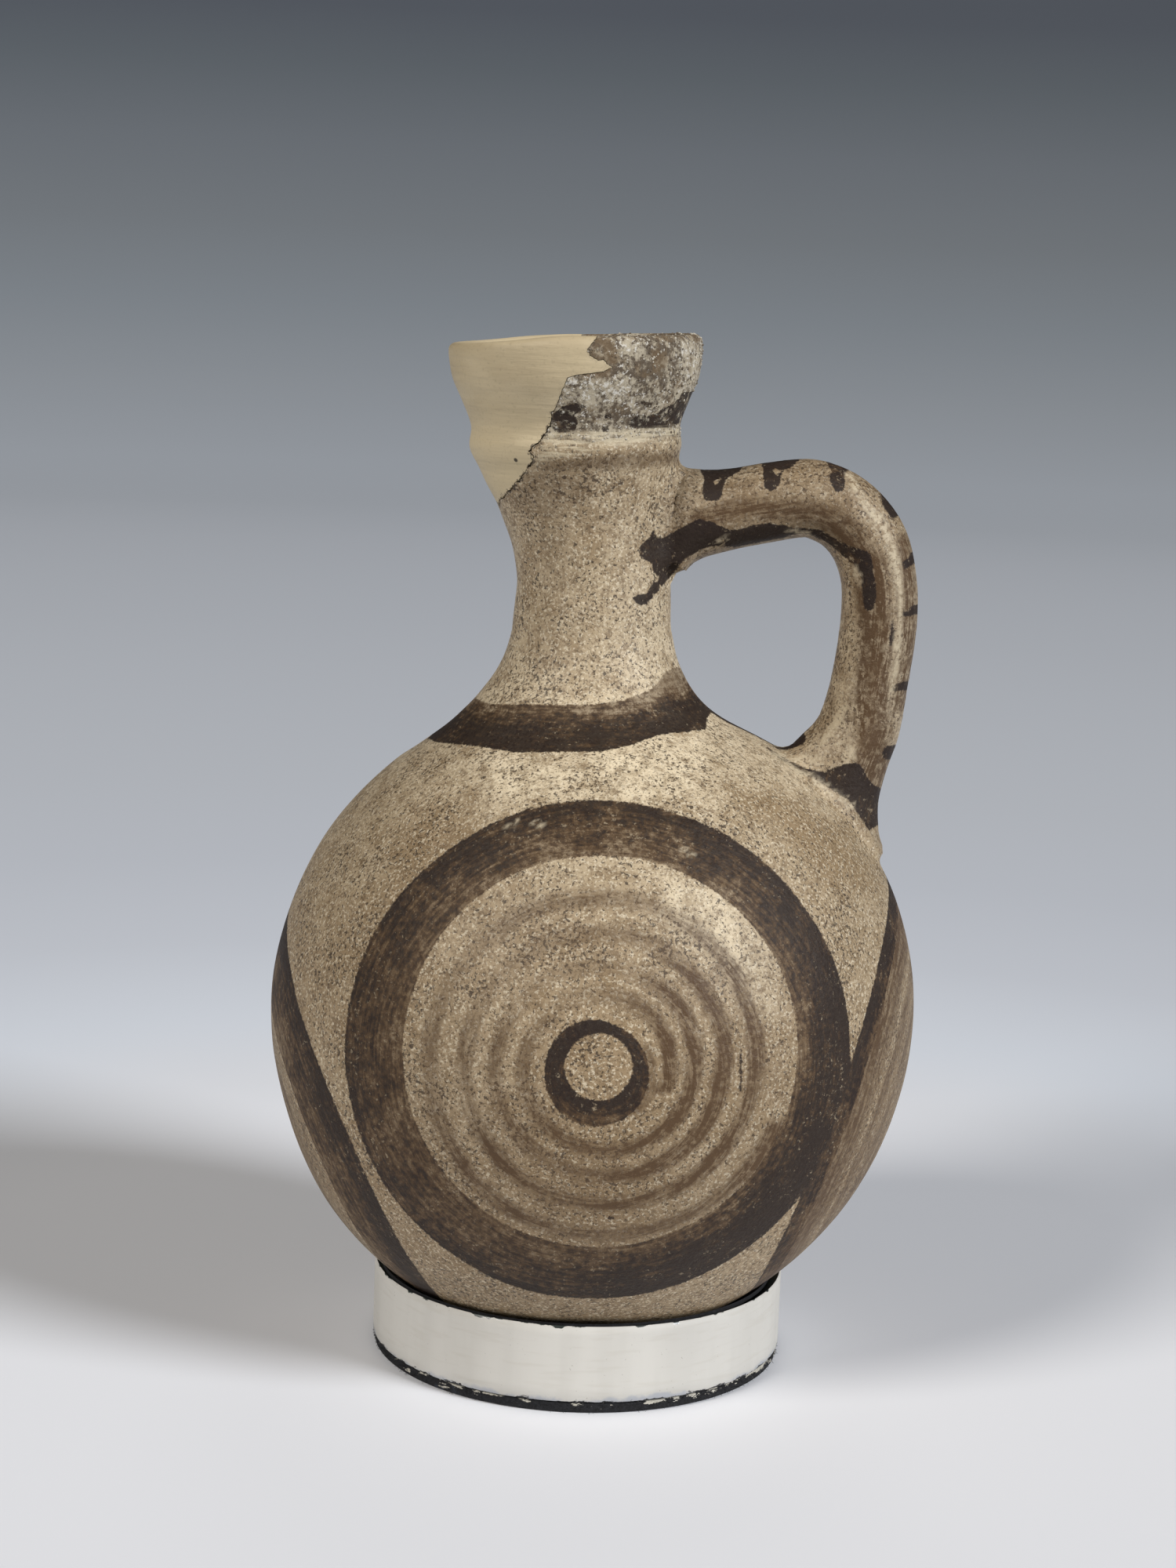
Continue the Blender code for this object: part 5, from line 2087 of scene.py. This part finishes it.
@dataclass(frozen=True)
class Studio:
    """Pale paper floor that curves up all round, with painted shade that darkens it away from the middle, and soft
    lights from the front sides.
    """

    flat: float = 1.6
    reach: float = 3.2
    rise: float = 0.8
    sides: int = 96
    below: float = 0.00002
    sun_angle: float = math.radians(20.0)
    air: str = "#A4A8B0"
    air_strength: float = 0.05
    # Distance from the middle in metres and the paper's painted shade there, which stands in for light falling off
    painted_shades: tuple[tuple[float, str], ...] = (
        (0.0, "#E4E5E9"), (0.105, "#E4E5E9"), (0.14, "#D9DBE0"), (0.18, "#D0D5DD"), (0.252, "#C1C5CD"),
        (0.344, "#B8BCC4"), (0.466, "#B3B7BE"), (0.636, "#AEB2B9"), (0.887, "#A7ABB2"), (1.30, "#9DA1A8"),
        (1.82, "#8B9097"), (2.06, "#7B8086"), (2.25, "#6B7177"), (2.41, "#5F6469"), (2.56, "#555A60"),
        (2.69, "#474D53"), (2.79, "#3D424A"), (3.2, "#33383F"),
    )
    # Name, degrees round from the front towards +X, degrees up, strength and colour
    suns: tuple[tuple[str, float, float, float, str], ...] = (
        ("key", 57.0, 29.0, 3.32, "#FAFCFF"), ("fill", -47.0, 36.0, 2.05, "#FFFBF5"),
        ("back", 170.0, 55.0, 0.10, "#FFFFFF"),
    )

    def floor_height(self, radius: float) -> float:
        """Height of the paper at a distance from the middle, in metres."""
        return self.rise * max(0.0, (radius - self.flat) / (self.reach - self.flat)) ** 2 - self.below

    def floor(self) -> None:
        """Lays the paper."""
        sides = self.sides
        turn = 2 * math.pi * np.arange(sides) / sides
        radii = [0.3, 0.9, *np.linspace(self.flat, self.reach, 17)]
        points = [(0.0, 0.0, self.floor_height(0.0))]
        for radius in radii:
            height = self.floor_height(radius)
            points.extend((radius * math.cos(angle), radius * math.sin(angle), height) for angle in turn)
        faces = [(0, 1 + k, 1 + (k + 1) % sides) for k in range(sides)]
        for low in range(1, 1 + (len(radii) - 1) * sides, sides):
            for k in range(sides):
                j = (k + 1) % sides
                faces.append((low + k, low + sides + k, low + sides + j, low + j))
        mesh = bpy.data.meshes.new("studio_floor")
        mesh.from_pydata(points, [], faces)
        mesh.update()
        mesh.shade_smooth()
        mesh.materials.append(self.paper())
        linked("studio_floor", mesh)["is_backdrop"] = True

    def paper(self) -> Material:
        """Matt photographic paper, with painted shade from nearly white in the middle to grey at its rim.

        Returns:
            The finished material.
        """
        f = Finish("shaded_paper")
        flat = f.add(VECTOR, {0: f.place, 1: (1.0, 1.0, 0.0)}, **TIMES)
        away = f.add(VECTOR, {0: flat}, "Value", operation="LENGTH")
        share = f.add(MATH, {0: away, 1: self.reach}, operation="DIVIDE")
        colour = f.add("ShaderNodeValToRGB", {0: share})
        stops = colour.node.color_ramp.elements
        stops.remove(stops[1])
        stops[0].position, stops[0].color = 0.0, linear(self.painted_shades[0][1])
        for radius, code in self.painted_shades[1:]:
            stops.new(radius / self.reach).color = linear(code)
        return f.end(colour, 0.95)

    def build(self) -> None:
        """Makes the floor, the lights and the plain air."""
        self.floor()
        for name, turn, rise, strength, colour in self.suns:
            data = bpy.data.lights.new(name, "SUN")
            data.angle, data.energy, data.color = self.sun_angle, strength, linear(colour)[:3]
            across, up = math.radians(turn), math.radians(rise)
            towards = Vector((math.sin(across) * math.cos(up), -math.cos(across) * math.cos(up), math.sin(up)))
            linked(name, data).rotation_euler = (-towards).to_track_quat("-Z", "Y").to_euler()
        world = bpy.data.worlds.new("studio_air")
        world.use_nodes = True
        air = world.node_tree.nodes["Background"]
        air.inputs["Color"].default_value, air.inputs["Strength"].default_value = linear(self.air), self.air_strength
        bpy.context.scene.world = world
        settings = bpy.context.scene.view_settings
        settings.view_transform, settings.look = "Standard", "None"


# ---- the whole object


@dataclass
class DressedJuglet:
    """The painted vessel, its plaster fill and the lime grains in its crust."""

    form: VesselForm
    view: CameraView
    grain_density: float = 2.2
    grain_size: tuple[float, float] = (0.14, 0.42)
    on_paint: float = 0.15

    def grains(self, juglet: Object) -> Object:
        """Strews lime grains over the crusted mouth of the finished vessel, fewer of them on the paint.

        Args:
            juglet: The finished vessel.

        Returns:
            The grains.
        """
        bed = copied(juglet, "lime_grains")
        crust, ink = np.empty((2, len(bed.data.vertices)))
        for name, values in (("crust", crust), ("ink", ink)):
            bed.data.attributes[name].data.foreach_get("value", values)
        patchy = smooth_step(0.5 + value_noise(mesh_points(bed) / MM, 2.5, 19))
        set_values(bed, "strew", crust * patchy * np.where(ink > 0.0, self.on_paint, 1.0))
        with opened(bed) as bm:
            crusted = bm.verts.layers.float["crust"]
            bare = [face for face in bm.faces if all(corner[crusted] < 0.01 for corner in face.verts)]
            bmesh.ops.delete(bm, geom=bare, context="FACES")
        lime = LimeGrain().material()
        grains = strewn("lime_grains", bed, Strewn.GRAIN, self.grain_density, self.grain_size, 5, lime)
        return grains

    def build(self) -> list[tuple[Object, Piece | None]]:
        """Builds and dresses the vessel and the fill.

        Returns:
            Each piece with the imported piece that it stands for.
        """
        vessel = Vessel(self.form)
        juglet, plaster = vessel.build()
        finishes = ((juglet, SlippedClay().material()), (plaster, RestorationPlaster().material()))
        for thing, material in finishes:
            marks = Brushwork(vessel, self.view, mesh_points(thing))
            if thing is juglet:
                marks.paint()
            marks.keep(thing)
            vessel.settle(thing)
            thing.data.materials.clear()
            thing.data.materials.append(material)
        grains = self.grains(juglet)
        return [(juglet, Piece.JUGLET), (plaster, Piece.PLASTER), (grains, None)]


def main() -> None:
    """Builds every piece in order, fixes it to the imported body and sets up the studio."""
    logging.basicConfig(level=logging.INFO, format="%(name)s: %(message)s")
    form, view = VesselForm(), CameraView()
    pieces = DressedJuglet(form, view).build() + DisplayRing(form).build()
    for piece, node in pieces:
        piece.data.shade_smooth()
        piece.data.set_sharp_from_angle(angle=math.radians(46))
        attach(piece, "root")
        if node is not None:
            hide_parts(node.value)
        LOG.info("%s: %d faces, stands for %s", piece.name, len(piece.data.polygons), node.value if node else "itself")
    Studio().build()
    view.place(form)
    boxes = {"cad": CAD_BOX, "visual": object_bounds()}
    {name: [[float(value) for value in corner] for corner in box] for name, box in boxes.items()}


if __name__ == "__main__":
    main()
